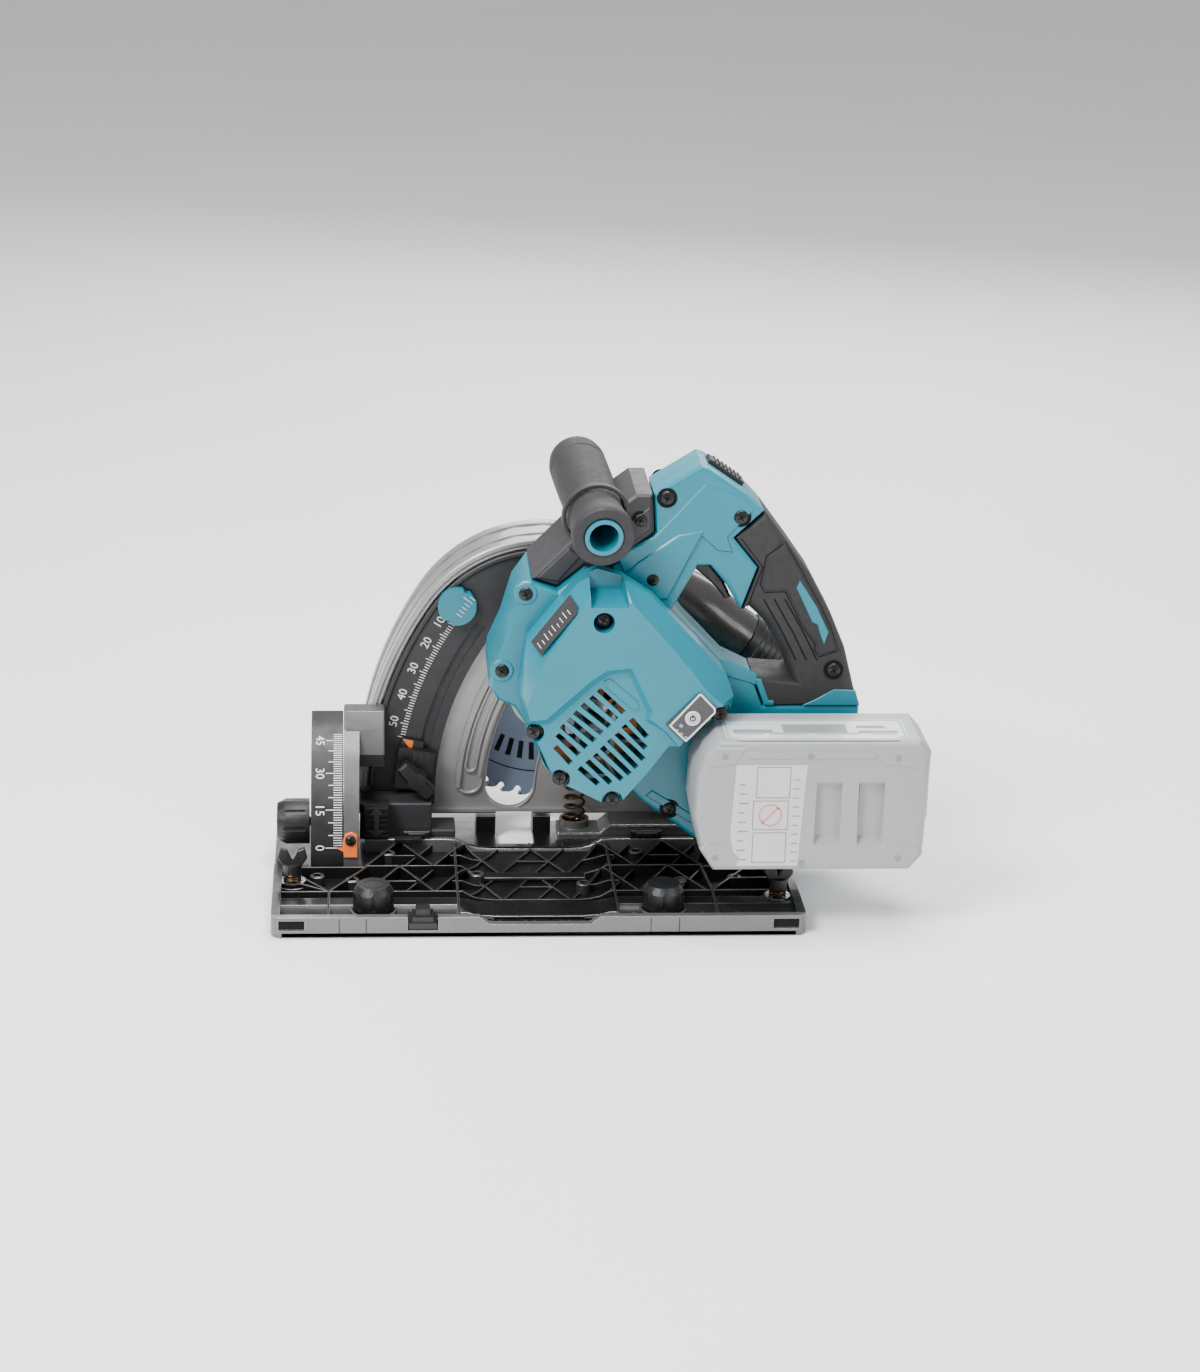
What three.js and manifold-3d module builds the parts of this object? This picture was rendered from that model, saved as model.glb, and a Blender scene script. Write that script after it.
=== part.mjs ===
// Cordless plunge-cut circular saw with a guide-rail base, as separate named pieces.
// Millimetres, +Z up. Origin: middle of the base's underside. +X is the rear of the saw,
// -Y is the motor side. The blade plane is Y = BLADE_Y and the bevel axis runs along X
// through (BLADE_Y, 0), where the blade meets the work.

import * as THREE from 'three';
import { mergeVertices } from 'three/addons/utils/BufferGeometryUtils.js';
import Module from 'manifold-3d';

const wasm = await Module();
wasm.setup();

// ---------------------------------------------------------------- driving dimensions
const GAP = 0.3;
const SMALLEST_EDGE = 0.02;

const BASE_LENGTH = 300;
const BASE_NEAR = -100;
const BASE_FAR = 66;
const SKIN = 3;
const RIM_HEIGHT = 12;
const RIB_HEIGHT = 10;
const SCOOP_HEIGHT = 4.5;
const RAIL_Y = -71;
const RAIL_HALF_WIDTH = 8;
const RAIL_DEPTH = 3.4;
const FLANGE_Y = 18;
const CORNER_SCREWS = [[-139, -41], [137.5, -65.5]];
const RAIL_KNOBS = [-93, 70.5];
const KNOB_Y = -78;

const BLADE_RADIUS = 82.5;
const BLADE_Y = 68.5;
const BLADE_X = 8;
const BLADE_Z = 101;
const BLADE_THICKNESS = 1.8;
const BLADE_TEETH = 48;
const SPINDLE_RADIUS = 6;

const PIVOT_X = 120;
const PIVOT_Z = 26;
const PIVOT_RADIUS = 5;
const SWING = Math.hypot(PIVOT_X - BLADE_X, BLADE_Z - PIVOT_Z);

const CASE_CLEARANCE = 4;
const CASE_NEAR = 46;
const CASE_FAR = 86;
const CASE_WALL = 3;
const CASE_BOTTOM = 15.5;
const CASE_WEB_Y = 50;
const COVER_THICKNESS = 6;
const COVER_BOTTOM = 31;

const GEAR_MODULE = 1;
const GEAR_TEETH = 35;
const PINION_TEETH = 9;
const GEAR_CENTRES = GEAR_MODULE * (GEAR_TEETH + PINION_TEETH) / 2;
const MOTOR_LIFT = 4;
const MOTOR_X = BLADE_X + Math.sqrt(GEAR_CENTRES ** 2 - MOTOR_LIFT ** 2);
const MOTOR_Z = BLADE_Z + MOTOR_LIFT;
const MOTOR_CAVITY = 27.5;

const COVER_FACE = -76;
const COVER_SEAM = -46;
const HOUSING_END = 18;
const POWER_BUTTON = [83.5, 121.5];
const SPEED_DIAL = [82, 151.2];
const GEARBOX_Y = 24;
const GEARBOX_END = 44;

const BODY_NEAR = -38;
const BODY_FAR = 2;
const BODY_MID = (BODY_NEAR + BODY_FAR) / 2;
const BODY_WALL = 3;

const SCALE_RADIUS = 84.2;
const FRONT_PLATE_X = -110;
const FRONT_ARC = 75;
const REAR_ARC = 63;
const REAR_PLATE_X = 134.5;
const REAR_RADIUS = 62;
const LOCK_RADIUS = 60;
const REAR_LOCK_RADIUS = 46;
const LOCK_ANGLE = 24;

const SPRING_X = 27.5;
const SPRING_Y = 38;
const SPRING_BOTTOM = 12;
const SPRING_TOP = 83.5;

// ---------------------------------------------------------------- materials
const COLOURS = {
  teal: ['#2f9fb4', 0.42, 0.0],
  charcoal: ['#3a3a3d', 0.6, 0.0],
  rubber: ['#2b2b2d', 0.8, 0.0],
  black: ['#17171a', 0.45, 0.0],
  casting: ['#56585a', 0.4, 0.7],
  silver: ['#9c9c9e', 0.35, 0.8],
  steel: ['#b9bcc0', 0.28, 1.0],
  blade: ['#a9b8c8', 0.3, 0.9],
  spring: ['#4a3a2e', 0.35, 0.9],
  copper: ['#b0683a', 0.4, 0.9],
  orange: ['#ee6f2c', 0.45, 0.0],
  battery: ['#c3c4c6', 0.5, 0.0],
};

function material(name) {
  const [color, roughness, metalness] = COLOURS[name];
  return new THREE.MeshStandardMaterial({ color, roughness, metalness });
}

// ---------------------------------------------------------------- solids
function weld(geometry) {
  const plain = geometry.clone();
  plain.deleteAttribute('normal');
  plain.deleteAttribute('uv');
  const merged = mergeVertices(plain, 1e-4);
  const source = merged.getIndex().array;
  const kept = [];
  for (let i = 0; i < source.length; i += 3) {
    const [a, b, c] = [source[i], source[i + 1], source[i + 2]];
    if (a !== b && b !== c && c !== a) kept.push(a, b, c);
  }
  merged.setIndex(kept);
  return merged;
}

function signedVolume(geometry) {
  const position = geometry.getAttribute('position');
  const index = geometry.getIndex().array;
  const corner = [new THREE.Vector3(), new THREE.Vector3(), new THREE.Vector3()];
  let volume = 0;
  for (let i = 0; i < index.length; i += 3) {
    corner.forEach((point, k) => point.fromBufferAttribute(position, index[i + k]));
    volume += corner[0].dot(corner[1].clone().cross(corner[2])) / 6;
  }
  return volume;
}

function solid(geometry) {
  const welded = weld(geometry);
  const index = Array.from(welded.getIndex().array);
  if (signedVolume(welded) < 0) {
    for (let i = 0; i < index.length; i += 3) {
      [index[i + 1], index[i + 2]] = [index[i + 2], index[i + 1]];
    }
  }
  return new wasm.Manifold(new wasm.Mesh({
    numProp: 3,
    vertProperties: new Float32Array(welded.getAttribute('position').array),
    triVerts: new Uint32Array(index),
  }));
}

function geometryOf(manifold) {
  const mesh = manifold.simplify(SMALLEST_EDGE).getMesh();
  const geometry = new THREE.BufferGeometry();
  geometry.setAttribute('position', new THREE.Float32BufferAttribute(mesh.vertProperties, 3));
  geometry.setIndex(Array.from(mesh.triVerts));
  return geometry;
}

function joined(first, ...rest) {
  return rest.reduce((sum, piece) => sum.add(piece), first);
}

function cut(first, ...rest) {
  return rest.reduce((left, piece) => left.subtract(piece), first);
}

// ---------------------------------------------------------------- shape helpers
const radians = THREE.MathUtils.degToRad;

function polar(cx, cy, radius, degrees) {
  return [cx + radius * Math.cos(radians(degrees)), cy + radius * Math.sin(radians(degrees))];
}

function arc(cx, cy, radius, from, to, steps) {
  const points = [];
  for (let i = 0; i <= steps; i += 1) {
    points.push(polar(cx, cy, radius, from + (to - from) * i / steps));
  }
  return points;
}

function circle(cx, cy, radius, sides) {
  return arc(cx, cy, radius, 0, 360 - 360 / sides, sides - 1);
}

function sector(cx, cy, inner, outer, from, to, steps) {
  return [...arc(cx, cy, outer, from, to, steps), ...arc(cx, cy, inner, to, from, steps)];
}

function rectangle(x0, y0, x1, y1) {
  return [[x0, y0], [x1, y0], [x1, y1], [x0, y1]];
}

// Moves every corner of an outline inwards (or outwards, for a negative distance).
function inset(points, distance) {
  const area = THREE.ShapeUtils.area(points.map(([x, y]) => new THREE.Vector2(x, y)));
  const side = Math.sign(area) * distance;
  return points.map(([x, y], i) => {
    const [px, py] = points[(i + points.length - 1) % points.length];
    const [qx, qy] = points[(i + 1) % points.length];
    const before = new THREE.Vector2(x - px, y - py).normalize();
    const after = new THREE.Vector2(qx - x, qy - y).normalize();
    const normal = new THREE.Vector2(-before.y - after.y, before.x + after.x).normalize();
    const stretch = Math.max(0.45, normal.dot(new THREE.Vector2(-before.y, before.x)));
    return [x + normal.x * side / stretch, y + normal.y * side / stretch];
  });
}

function extrusion(points, depth, bevel, segments, hole) {
  const shape = new THREE.Shape(points.map(([x, y]) => new THREE.Vector2(x, y)));
  if (hole) shape.holes.push(new THREE.Path(hole.map(([x, y]) => new THREE.Vector2(x, y))));
  const geometry = new THREE.ExtrudeGeometry(shape, {
    depth: depth - 2 * bevel,
    steps: 1,
    bevelEnabled: bevel > 0,
    bevelThickness: bevel,
    bevelSize: bevel,
    bevelOffset: -bevel,
    bevelSegments: segments,
  });
  return geometry.translate(0, 0, bevel);
}

// Outline in X and Z, extruded along Y.
function alongY(points, y0, y1, bevel = 0, segments = 1, hole = null) {
  const geometry = extrusion(points, y1 - y0, bevel, segments, hole);
  return solid(geometry.rotateX(Math.PI / 2).translate(0, y1, 0));
}

// Outline in Y and Z, extruded along X.
function alongX(points, x0, x1, bevel = 0, segments = 1) {
  const turn = new THREE.Matrix4().makeBasis(
    new THREE.Vector3(0, 1, 0), new THREE.Vector3(0, 0, 1), new THREE.Vector3(1, 0, 0));
  return solid(extrusion(points, x1 - x0, bevel, segments).applyMatrix4(turn).translate(x0, 0, 0));
}

// Outline in X and Y, extruded along Z.
function alongZ(points, z0, z1, bevel = 0, segments = 1) {
  return solid(extrusion(points, z1 - z0, bevel, segments).translate(0, 0, z0));
}

function block(x0, x1, y0, y1, z0, z1) {
  return alongZ(rectangle(x0, y0, x1, y1), z0, z1);
}

// A turned piece: profile points are [radius, distance along the axis].
function turned(profile, origin, axis, sides) {
  const points = profile.map(([r, h]) => new THREE.Vector2(r, h));
  const geometry = new THREE.LatheGeometry(points, sides);
  const turn = new THREE.Quaternion().setFromUnitVectors(
    new THREE.Vector3(0, 1, 0), new THREE.Vector3(...axis).normalize());
  return solid(geometry.applyQuaternion(turn).translate(...origin));
}

function rod(radius, from, length, origin, axis, sides = 16) {
  return turned([[0, from], [radius, from], [radius, from + length], [0, from + length]],
    origin, axis, sides);
}

function ring(inner, outer, from, length, origin, axis, sides = 16) {
  return turned([[inner, from], [outer, from], [outer, from + length], [inner, from + length],
    [inner, from]], origin, axis, sides);
}

const X_AXIS = [1, 0, 0];
const Y_AXIS = [0, 1, 0];
const Z_AXIS = [0, 0, 1];

// ---------------------------------------------------------------- scene
const saw = new THREE.Group();

function add(name, colour, manifold) {
  const mesh = new THREE.Mesh(geometryOf(manifold), material(colour));
  mesh.name = name;
  saw.add(mesh);
}

// ---------------------------------------------------------------- base
function rib(x0, y0, x1, y1, height, width = 1.8) {
  const length = Math.hypot(x1 - x0, y1 - y0);
  const side = [-(y1 - y0) / length * width / 2, (x1 - x0) / length * width / 2];
  return alongZ([
    [x0 + side[0], y0 + side[1]], [x0 - side[0], y0 - side[1]],
    [x1 - side[0], y1 - side[1]], [x1 + side[0], y1 + side[1]],
  ], SKIN - 1, height);
}

function baseRibs() {
  const ribs = [];
  const pitch = 39;
  const bands = [[-58, -20], [-20, FLANGE_Y]];
  for (const [low, high] of bands) {
    for (let i = 0; i < 5; i += 1) {
      const x = -97 + i * pitch;
      ribs.push(rib(x, low, x + pitch / 2, high, RIB_HEIGHT));
      ribs.push(rib(x + pitch / 2, high, x + pitch, low, RIB_HEIGHT));
    }
  }
  ribs.push(rib(-97, -20, 98, -20, RIB_HEIGHT));
  ribs.push(rib(-145, -57.5, 145, -57.5, RIB_HEIGHT));
  for (const x of [-118, -45, 45, 101]) ribs.push(rib(x, BASE_NEAR + 3, x, -57, RIB_HEIGHT));
  for (const x of [-45, 45]) ribs.push(rib(x, -57, x, FLANGE_Y, RIB_HEIGHT - 0.6));
  ribs.push(rib(-118, -57, -145, -22, RIB_HEIGHT));
  ribs.push(rib(101, -57, 125, -22, RIB_HEIGHT));
  ribs.push(rib(-145, -22, -97, -22, RIB_HEIGHT));
  ribs.push(rib(98, -22, 145, -22, RIB_HEIGHT));
  return ribs;
}

function basePlate() {
  const half = BASE_LENGTH / 2;
  const outline = [
    ...arc(-half + 6, BASE_NEAR + 6, 6, 180, 270, 4),
    ...arc(half - 6, BASE_NEAR + 6, 6, 270, 360, 4),
    ...arc(half - 18, BASE_FAR - 18, 18, 0, 90, 5),
    ...arc(-half + 10, BASE_FAR - 10, 10, 90, 180, 4),
  ];
  const skin = alongZ(outline, 0, SKIN);
  const rim = cut(alongZ(outline, SKIN - 1, RIM_HEIGHT),
    block(-half + 5, half - 5, BASE_NEAR + 5, BASE_FAR + 5, -1, RIM_HEIGHT + 1),
    block(-half - 1, half + 1, -22, BASE_FAR + 1, -1, RIM_HEIGHT + 1));
  const lowWalls = joined(
    block(-half, -half + 4, -30, BASE_FAR - 12, SKIN - 1, 7),
    block(half - 1.6, half, -30, BASE_FAR - 20, SKIN - 1, 6));
  const flange = block(-98, 98, FLANGE_Y, FLANGE_Y + 4, SKIN - 1, RIB_HEIGHT);
  const railBand = alongX([
    [RAIL_Y - 13, 2], [RAIL_Y - 10, 6.5], [RAIL_Y - 5, 9.4], [RAIL_Y + 5, 9.4],
    [RAIL_Y + 10, 6.5], [RAIL_Y + 13, 2],
  ], -half + 3, half - 3);
  const raised = joined(skin, rim, lowWalls, flange, railBand, ...baseRibs());
  const scoop = alongY([[-46, RIM_HEIGHT + 1], [-34, SCOOP_HEIGHT + 0.5], [-26, SCOOP_HEIGHT],
    [26, SCOOP_HEIGHT], [38, RIM_HEIGHT + 1]], BASE_NEAR + 9, FLANGE_Y + 5);
  const rimDip = alongY([[-34, RIM_HEIGHT + 1], [-28, 7.5], [28, 7.5], [34, RIM_HEIGHT + 1]],
    BASE_NEAR - 1, BASE_NEAR + 10);
  const groove = block(-half - 1, half + 1, RAIL_Y - RAIL_HALF_WIDTH, RAIL_Y + RAIL_HALF_WIDTH,
    -1, RAIL_DEPTH);
  const cutLineGap = block(-19, 3, FLANGE_Y + 12, BASE_FAR + 1, -1, RIM_HEIGHT);
  const gapWalls = [[-31, -19], [3, 14]].map(([x0, x1]) => block(x0, x1, 47, 61, SKIN - 1, 13.5));
  const screwWells = CORNER_SCREWS.map(([x, y]) => rod(8, 0, 20, [x, y, 8.1], Z_AXIS, 16));
  const sliderPocket = block(-74, -57, BASE_NEAR - 1, BASE_NEAR + 18, SKIN + 1, RIM_HEIGHT + 1);
  const seats = CORNER_SCREWS.map(([x, y]) => rod(9.5, 0, 6, [x, y, SKIN - 1], Z_AXIS, 16));
  const knobSeats = RAIL_KNOBS.map((x) => rod(13.5, 0, 7, [x, KNOB_Y, SKIN - 1], Z_AXIS, 20));
  const knobWells = RAIL_KNOBS.map((x) => rod(12.6, 0, 20, [x, KNOB_Y, 8.4], Z_AXIS, 20));
  const stemHoles = [
    ...CORNER_SCREWS.map(([x, y]) => rod(3, 0, 20, [x, y, SKIN + 1], Z_AXIS, 10)),
    ...RAIL_KNOBS.map((x) => rod(3, 0, 20, [x, KNOB_Y, SKIN + 2], Z_AXIS, 10)),
  ];
  return cut(joined(raised, ...seats, ...knobSeats), scoop, rimDip, groove, cutLineGap,
    sliderPocket, ...knobWells, ...screwWells, ...stemHoles).add(gapWalls[0]).add(gapWalls[1]);
}

// Fixed black quadrant: a drum-shaped rim that carries the bevel scale, and a slotted web.
function bevelQuadrant(x0, x1, webX0, webX1, radius, lockRadius, rise) {
  const foot = 3.3;
  const start = 180 - THREE.MathUtils.radToDeg(Math.asin(foot / radius)) - 0.2;
  const end = 180 - rise;
  const rimBand = alongX(sector(BLADE_Y, 0, radius - 9, radius, start, end, 16), x0, x1);
  const web = alongX([...arc(BLADE_Y, 0, radius - 2, start, end, 14), [BLADE_Y - 8, 16],
    [BLADE_Y - 4, foot]], webX0, webX1);
  const slot = alongX(sector(BLADE_Y, 0, lockRadius - 4.5, lockRadius + 4.5,
    180 - LOCK_ANGLE + 7, 180 - LOCK_ANGLE - 57, 14), webX0 - 1, webX1 + 1);
  const floor = block(x0 - 1, x1 + 1, -60, 90, -10, foot);
  const foot_bar = block(x0, x1, BLADE_Y - radius + 2, 30, foot - 0.01, foot + 3);
  return cut(joined(rimBand, web, foot_bar), slot, floor);
}

function flutedKnob(radius, height, stem, origin, axis, flutes = 8) {
  const body = joined(turned([[0, 0], [radius, 0], [radius, height * 0.72], [radius * 0.8, height],
    [0, height]], origin, axis, 2 * flutes), rod(2.7, -stem, stem + 1, origin, axis, 10));
  const turn = new THREE.Quaternion().setFromUnitVectors(
    new THREE.Vector3(0, 1, 0), new THREE.Vector3(...axis).normalize());
  const cuts = circle(0, 0, radius * 1.08, flutes).map(([u, v]) => {
    const place = new THREE.Vector3(u, 0, v).applyQuaternion(turn);
    return rod(radius * 0.17, height * 0.12, height, [origin[0] + place.x,
      origin[1] + place.y, origin[2] + place.z], axis, 6);
  });
  return cut(body, ...cuts);
}

function wingScrew(x, y) {
  const stem = joined(rod(2.7, -2.5, 14, [x, y, SKIN + 5], Z_AXIS, 10),
    rod(7, 0, 1.6, [x, y, 8.4], Z_AXIS, 16), rod(5.2, 6, 6, [x, y, 8.4], Z_AXIS, 12));
  const wings = alongY([[x - 3.5, 16], [x + 3.5, 16], [x + 8.5, 24], [x + 7, 30], [x + 3, 28.5],
    [x, 22], [x - 3, 28.5], [x - 7, 30], [x - 8.5, 24]], y - 1.8, y + 1.8, 0.6, 1);
  return joined(stem, wings);
}

function antiTipSlider() {
  return joined(block(-73.6, -57.4, BASE_NEAR + 0.6, BASE_NEAR + 17.6, SKIN + 1.3, 8),
    block(-71.5, -59.5, BASE_NEAR + 2, BASE_NEAR + 15, 7, 11),
    block(-69.5, -61.5, BASE_NEAR + 4, BASE_NEAR + 13, 10, 15));
}

// ---------------------------------------------------------------- bevel frame and blade case
const BELT_ANGLE = THREE.MathUtils.radToDeg(Math.atan2(BLADE_Z - PIVOT_Z, BLADE_X - PIVOT_X));
const CASE_TOP_RADIUS = BLADE_RADIUS + CASE_CLEARANCE;

function caseOutline(bottom) {
  return [
    [PIVOT_X - SWING - CASE_TOP_RADIUS, bottom],
    ...arc(PIVOT_X, PIVOT_Z, SWING + CASE_TOP_RADIUS, 180 - 2, BELT_ANGLE, 9),
    ...arc(BLADE_X, BLADE_Z, CASE_TOP_RADIUS, BELT_ANGLE - 9, -4, 12),
    [98, 76], [133, 48], [133, bottom],
  ];
}

function bladeCase() {
  const outer = caseOutline(CASE_BOTTOM);
  const inner = inset(outer, CASE_WALL).map(([x, z]) => [x, z < 30 ? z - 12 : z]);
  const shell = alongY(outer, CASE_NEAR, CASE_FAR, 1.2, 1);
  const hollow = alongY(inner, CASE_WEB_Y + 3, CASE_FAR + 1);
  const recess = alongY(inset(outer, CASE_WALL), CASE_NEAR - 1, CASE_WEB_Y);
  const from = THREE.MathUtils.radToDeg(Math.atan2(33 - PIVOT_Z, -11 - PIVOT_X));
  const slotRadius = Math.hypot(-11 - PIVOT_X, 33 - PIVOT_Z);
  const slotEnd = 180 - 40;
  const lower = polar(PIVOT_X, PIVOT_Z, slotRadius, from);
  const upper = polar(PIVOT_X, PIVOT_Z, slotRadius + 2, slotEnd);
  const slot = joined(
    alongY(sector(PIVOT_X, PIVOT_Z, slotRadius - 14.5, slotRadius + 14.5, from, slotEnd, 10), 40, 60),
    rod(14.5, 40, 20, [lower[0], 0, lower[1]], Y_AXIS, 28),
    rod(14.5, 40, 20, [upper[0], 0, upper[1]], Y_AXIS, 28));
  const footCut = alongY([[-19, 0], [-19, 17], [3, 17], [3, 0]], CASE_NEAR - 1, CASE_WEB_Y);
  const tiltCut = alongX([[78, 10], [78, 14.5], [CASE_FAR + 1, 25], [CASE_FAR + 1, 10]], -120, 140);
  const boss = rod(11, GEARBOX_END + 0.4, 12, [PIVOT_X, 0, PIVOT_Z], Y_AXIS, 24);
  const bore = rod(PIVOT_RADIUS + GAP, GEARBOX_END, 20, [PIVOT_X, 0, PIVOT_Z], Y_AXIS, 20);
  const rib1 = alongY(sector(PIVOT_X, PIVOT_Z, 161, 163.5, 178, 143, 10), CASE_WEB_Y - 2.5, CASE_WEB_Y + 1);
  const rib2 = alongY(sector(PIVOT_X, PIVOT_Z, 149, 151, 175, 143, 10), CASE_WEB_Y - 2.5, CASE_WEB_Y + 1);
  const duct = rod(DUCT_BORE, -30, 60, DUCT_ORIGIN, DUCT_AXIS, 24);
  const body = cut(shell, hollow, recess, footCut, tiltCut);
  return cut(joined(body, boss, rib1, rib2), slot, bore, duct);
}

const DUCT_AXIS = [0.83, 0, -0.558];
const DUCT_ORIGIN = [97, 66.5, 139];
const DUCT_BORE = 15;

function dustNozzle() {
  const tube = turned([[19, -26], [19.5, 6], [18.2, 26], [18.2, 36], [DUCT_BORE, 36],
    [DUCT_BORE, -26], [19, -26]], DUCT_ORIGIN, DUCT_AXIS, 28);
  return cut(tube, alongY(inset(caseOutline(CASE_BOTTOM), -GAP), 30, 100));
}

function dustConnector() {
  return turned([[DUCT_BORE, 36.3], [19.3, 36.3], [19.3, 42], [17.6, 43], [17.2, 62],
    [DUCT_BORE, 62], [DUCT_BORE, 36.3]], DUCT_ORIGIN, DUCT_AXIS, 28);
}

function caseCover() {
  const outline = caseOutline(COVER_BOTTOM).filter(([, z]) => z === COVER_BOTTOM || z > COVER_BOTTOM + 6);
  const plate = cut(alongY(outline, CASE_FAR + GAP, CASE_FAR + GAP + COVER_THICKNESS, 2, 1),
    alongY(inset(outline, 5), CASE_FAR, CASE_FAR + COVER_THICKNESS - 2.4));
  const bowl = rod(30, CASE_FAR + COVER_THICKNESS - 1, 3.2, [BLADE_X, 0, BLADE_Z], Y_AXIS, 24);
  const hollow = rod(27, CASE_FAR, COVER_THICKNESS - 0.4, [BLADE_X, 0, BLADE_Z], Y_AXIS, 24);
  return cut(joined(plate, bowl), hollow);
}

const DISC_PLACE = [-43.8, 147.5];

function depthScale() {
  const band = alongY(sector(PIVOT_X, PIVOT_Z, 176, 214, 180 + 1.5, 180 - 52, 16),
    CASE_WEB_Y - 3.4, CASE_WEB_Y - GAP);
  const slot = alongY(sector(PIVOT_X, PIVOT_Z, 182, 188, 180 - 5, 180 - 36, 12), 40, 52);
  const discSeat = rod(11.9, 40, 12, [DISC_PLACE[0], 0, DISC_PLACE[1]], Y_AXIS, 24);
  const cover = alongY(sector(PIVOT_X, PIVOT_Z, 178, 212, 180 + 1, 180 - 51.5, 16), CASE_WEB_Y - 1.4,
    CASE_WEB_Y - GAP);
  const insideRim = alongY(inset(caseOutline(CASE_BOTTOM), CASE_WALL + GAP), 40, 60);
  return joined(cut(band, slot, discSeat), cut(cover, discSeat)).intersect(insideRim);
}

function depthStop() {
  const base = alongY(sector(PIVOT_X, PIVOT_Z, 178.5, 200.5, 180 - 2.6, 180 - 10, 3), 38.4,
    CASE_WEB_Y - 3.7);
  const pointer = alongY(sector(PIVOT_X, PIVOT_Z, 186.3, 199.6, 180 - 9.4, 180 - 11.4, 1), 42.6,
    CASE_WEB_Y - 3.9);
  const [x, z] = polar(PIVOT_X, PIVOT_Z, 188, 180 - 5.4);
  return cut(joined(base, pointer), rod(3.3, 30, 30, [x, 0, z], Y_AXIS, 14));
}

function clampKnob() {
  const [x, z] = polar(PIVOT_X, PIVOT_Z, 188, 180 - 5.4);
  const stem = rod(3, 30, 15, [x, 0, z], Y_AXIS, 14);
  const paddle = turned([[0, 25], [5.5, 25.6], [6.2, 30], [6.2, 34.5], [5, 37.4], [0, 37.4]],
    [x, 0, z], Y_AXIS, 14);
  const angle = radians(-48);
  const along = [Math.cos(angle), Math.sin(angle)];
  const wing = [[-13, -3.2], [-10, -4.6], [10, -4.6], [13, -3.2], [13, 3.2], [10, 4.6], [-10, 4.6],
    [-13, 3.2]].map(([u, v]) => [x + u * along[0] - v * along[1], z + u * along[1] + v * along[0]]);
  return joined(stem, paddle, alongY(wing, 25.4, 34, 1.2, 1));
}

function scoringDisc() {
  const disc = rod(11.4, 41, CASE_WEB_Y - 1.8 - 41, [DISC_PLACE[0], 0, DISC_PLACE[1]], Y_AXIS, 28);
  const notches = [60, 240].map((degrees) => {
    const [u, w] = polar(DISC_PLACE[0], DISC_PLACE[1], 12.4, degrees);
    return rod(2.6, 40, 12, [u, 0, w], Y_AXIS, 12);
  });
  return cut(disc, ...notches);
}

// Moving silver plate with the strip that carries the bevel pointer.
function frontBevelPlate() {
  const strip = alongX(sector(BLADE_Y, 0, SCALE_RADIUS - 9, SCALE_RADIUS, 180 - 4.4, 181 - FRONT_ARC, 16),
    FRONT_PLATE_X, FRONT_PLATE_X + 9);
  const web = alongX([...arc(BLADE_Y, 0, SCALE_RADIUS - 3, 180 - 4.6, 181 - FRONT_ARC, 16), [50, 80],
    [84, 62], [84, 26], [62, 6.4]], FRONT_PLATE_X, FRONT_PLATE_X + 2.6);
  const shoulder = alongX([[24, 62], [30, 76], [38, 84], [45.4, 86], [45.4, 52], [30, 52]],
    FRONT_PLATE_X, -86, 0.8, 1);
  const lock = lockPlace(LOCK_RADIUS);
  return cut(joined(strip, web, shoulder), rod(3.5, -130, 40, [0, lock[0], lock[1]], X_AXIS, 14));
}

function rearBevelPlate() {
  const web = alongX([...arc(BLADE_Y, 0, REAR_RADIUS, 180 - 6, 180 - 64, 12), [60, 60], [84, 52],
    [84, 26], [62, 6.4]], REAR_PLATE_X, REAR_PLATE_X + 3);
  const lock = lockPlace(REAR_LOCK_RADIUS);
  return cut(web, rod(3.5, 120, 40, [0, lock[0], lock[1]], X_AXIS, 14));
}

function lockPlace(radius) {
  return polar(BLADE_Y, 0, radius, 180 - LOCK_ANGLE);
}

function lockKnob(radius, x0, length, stemEnd, lockRadius) {
  const [y, z] = lockPlace(lockRadius);
  return flutedKnob(radius, length, Math.abs(stemEnd - x0), [x0, y, z], [Math.sign(x0), 0, 0]);
}

// Lower frame: two pieces in front of the case that tie it to the bevel plates.
function frontFrameBlock() {
  return alongY([[-100.6, 8], [-100.6, 31], [-58, 31], [-58, 14], [-44, 14], [-44, 8]], 24,
    CASE_NEAR - GAP, 0.8, 1);
}

function rearFrameBeam() {
  const beam = alongY([[17, 7], [17, 12], [42, 12], [48, 17], [98, 17], [104, 12], [133, 12],
    [133, 7]], 24, CASE_NEAR - GAP, 0.8, 1);
  const cup = rod(9, 0, 6, [SPRING_X, SPRING_Y, 10.5], Z_AXIS, 16).subtract(
    block(0, 60, CASE_NEAR - GAP, 60, 0, 40));
  return cut(joined(beam, cup), rod(7.4, 0, 10, [SPRING_X, SPRING_Y, SPRING_BOTTOM - 0.4], Z_AXIS, 16));
}

function returnSpring() {
  return ring(4.6, 6.7, 0, SPRING_TOP - SPRING_BOTTOM, [SPRING_X, SPRING_Y, SPRING_BOTTOM], Z_AXIS, 16);
}

function arrowSlider() {
  const teeth = [];
  for (let i = 0; i < 6; i += 1) teeth.push(block(-98, -84, 12.4, 14.5, 13.6 + i * 3.4, 15.6 + i * 3.4));
  return joined(block(-98.5, -83.5, 14, 23.7, 12.6, 34), ...teeth);
}

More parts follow.
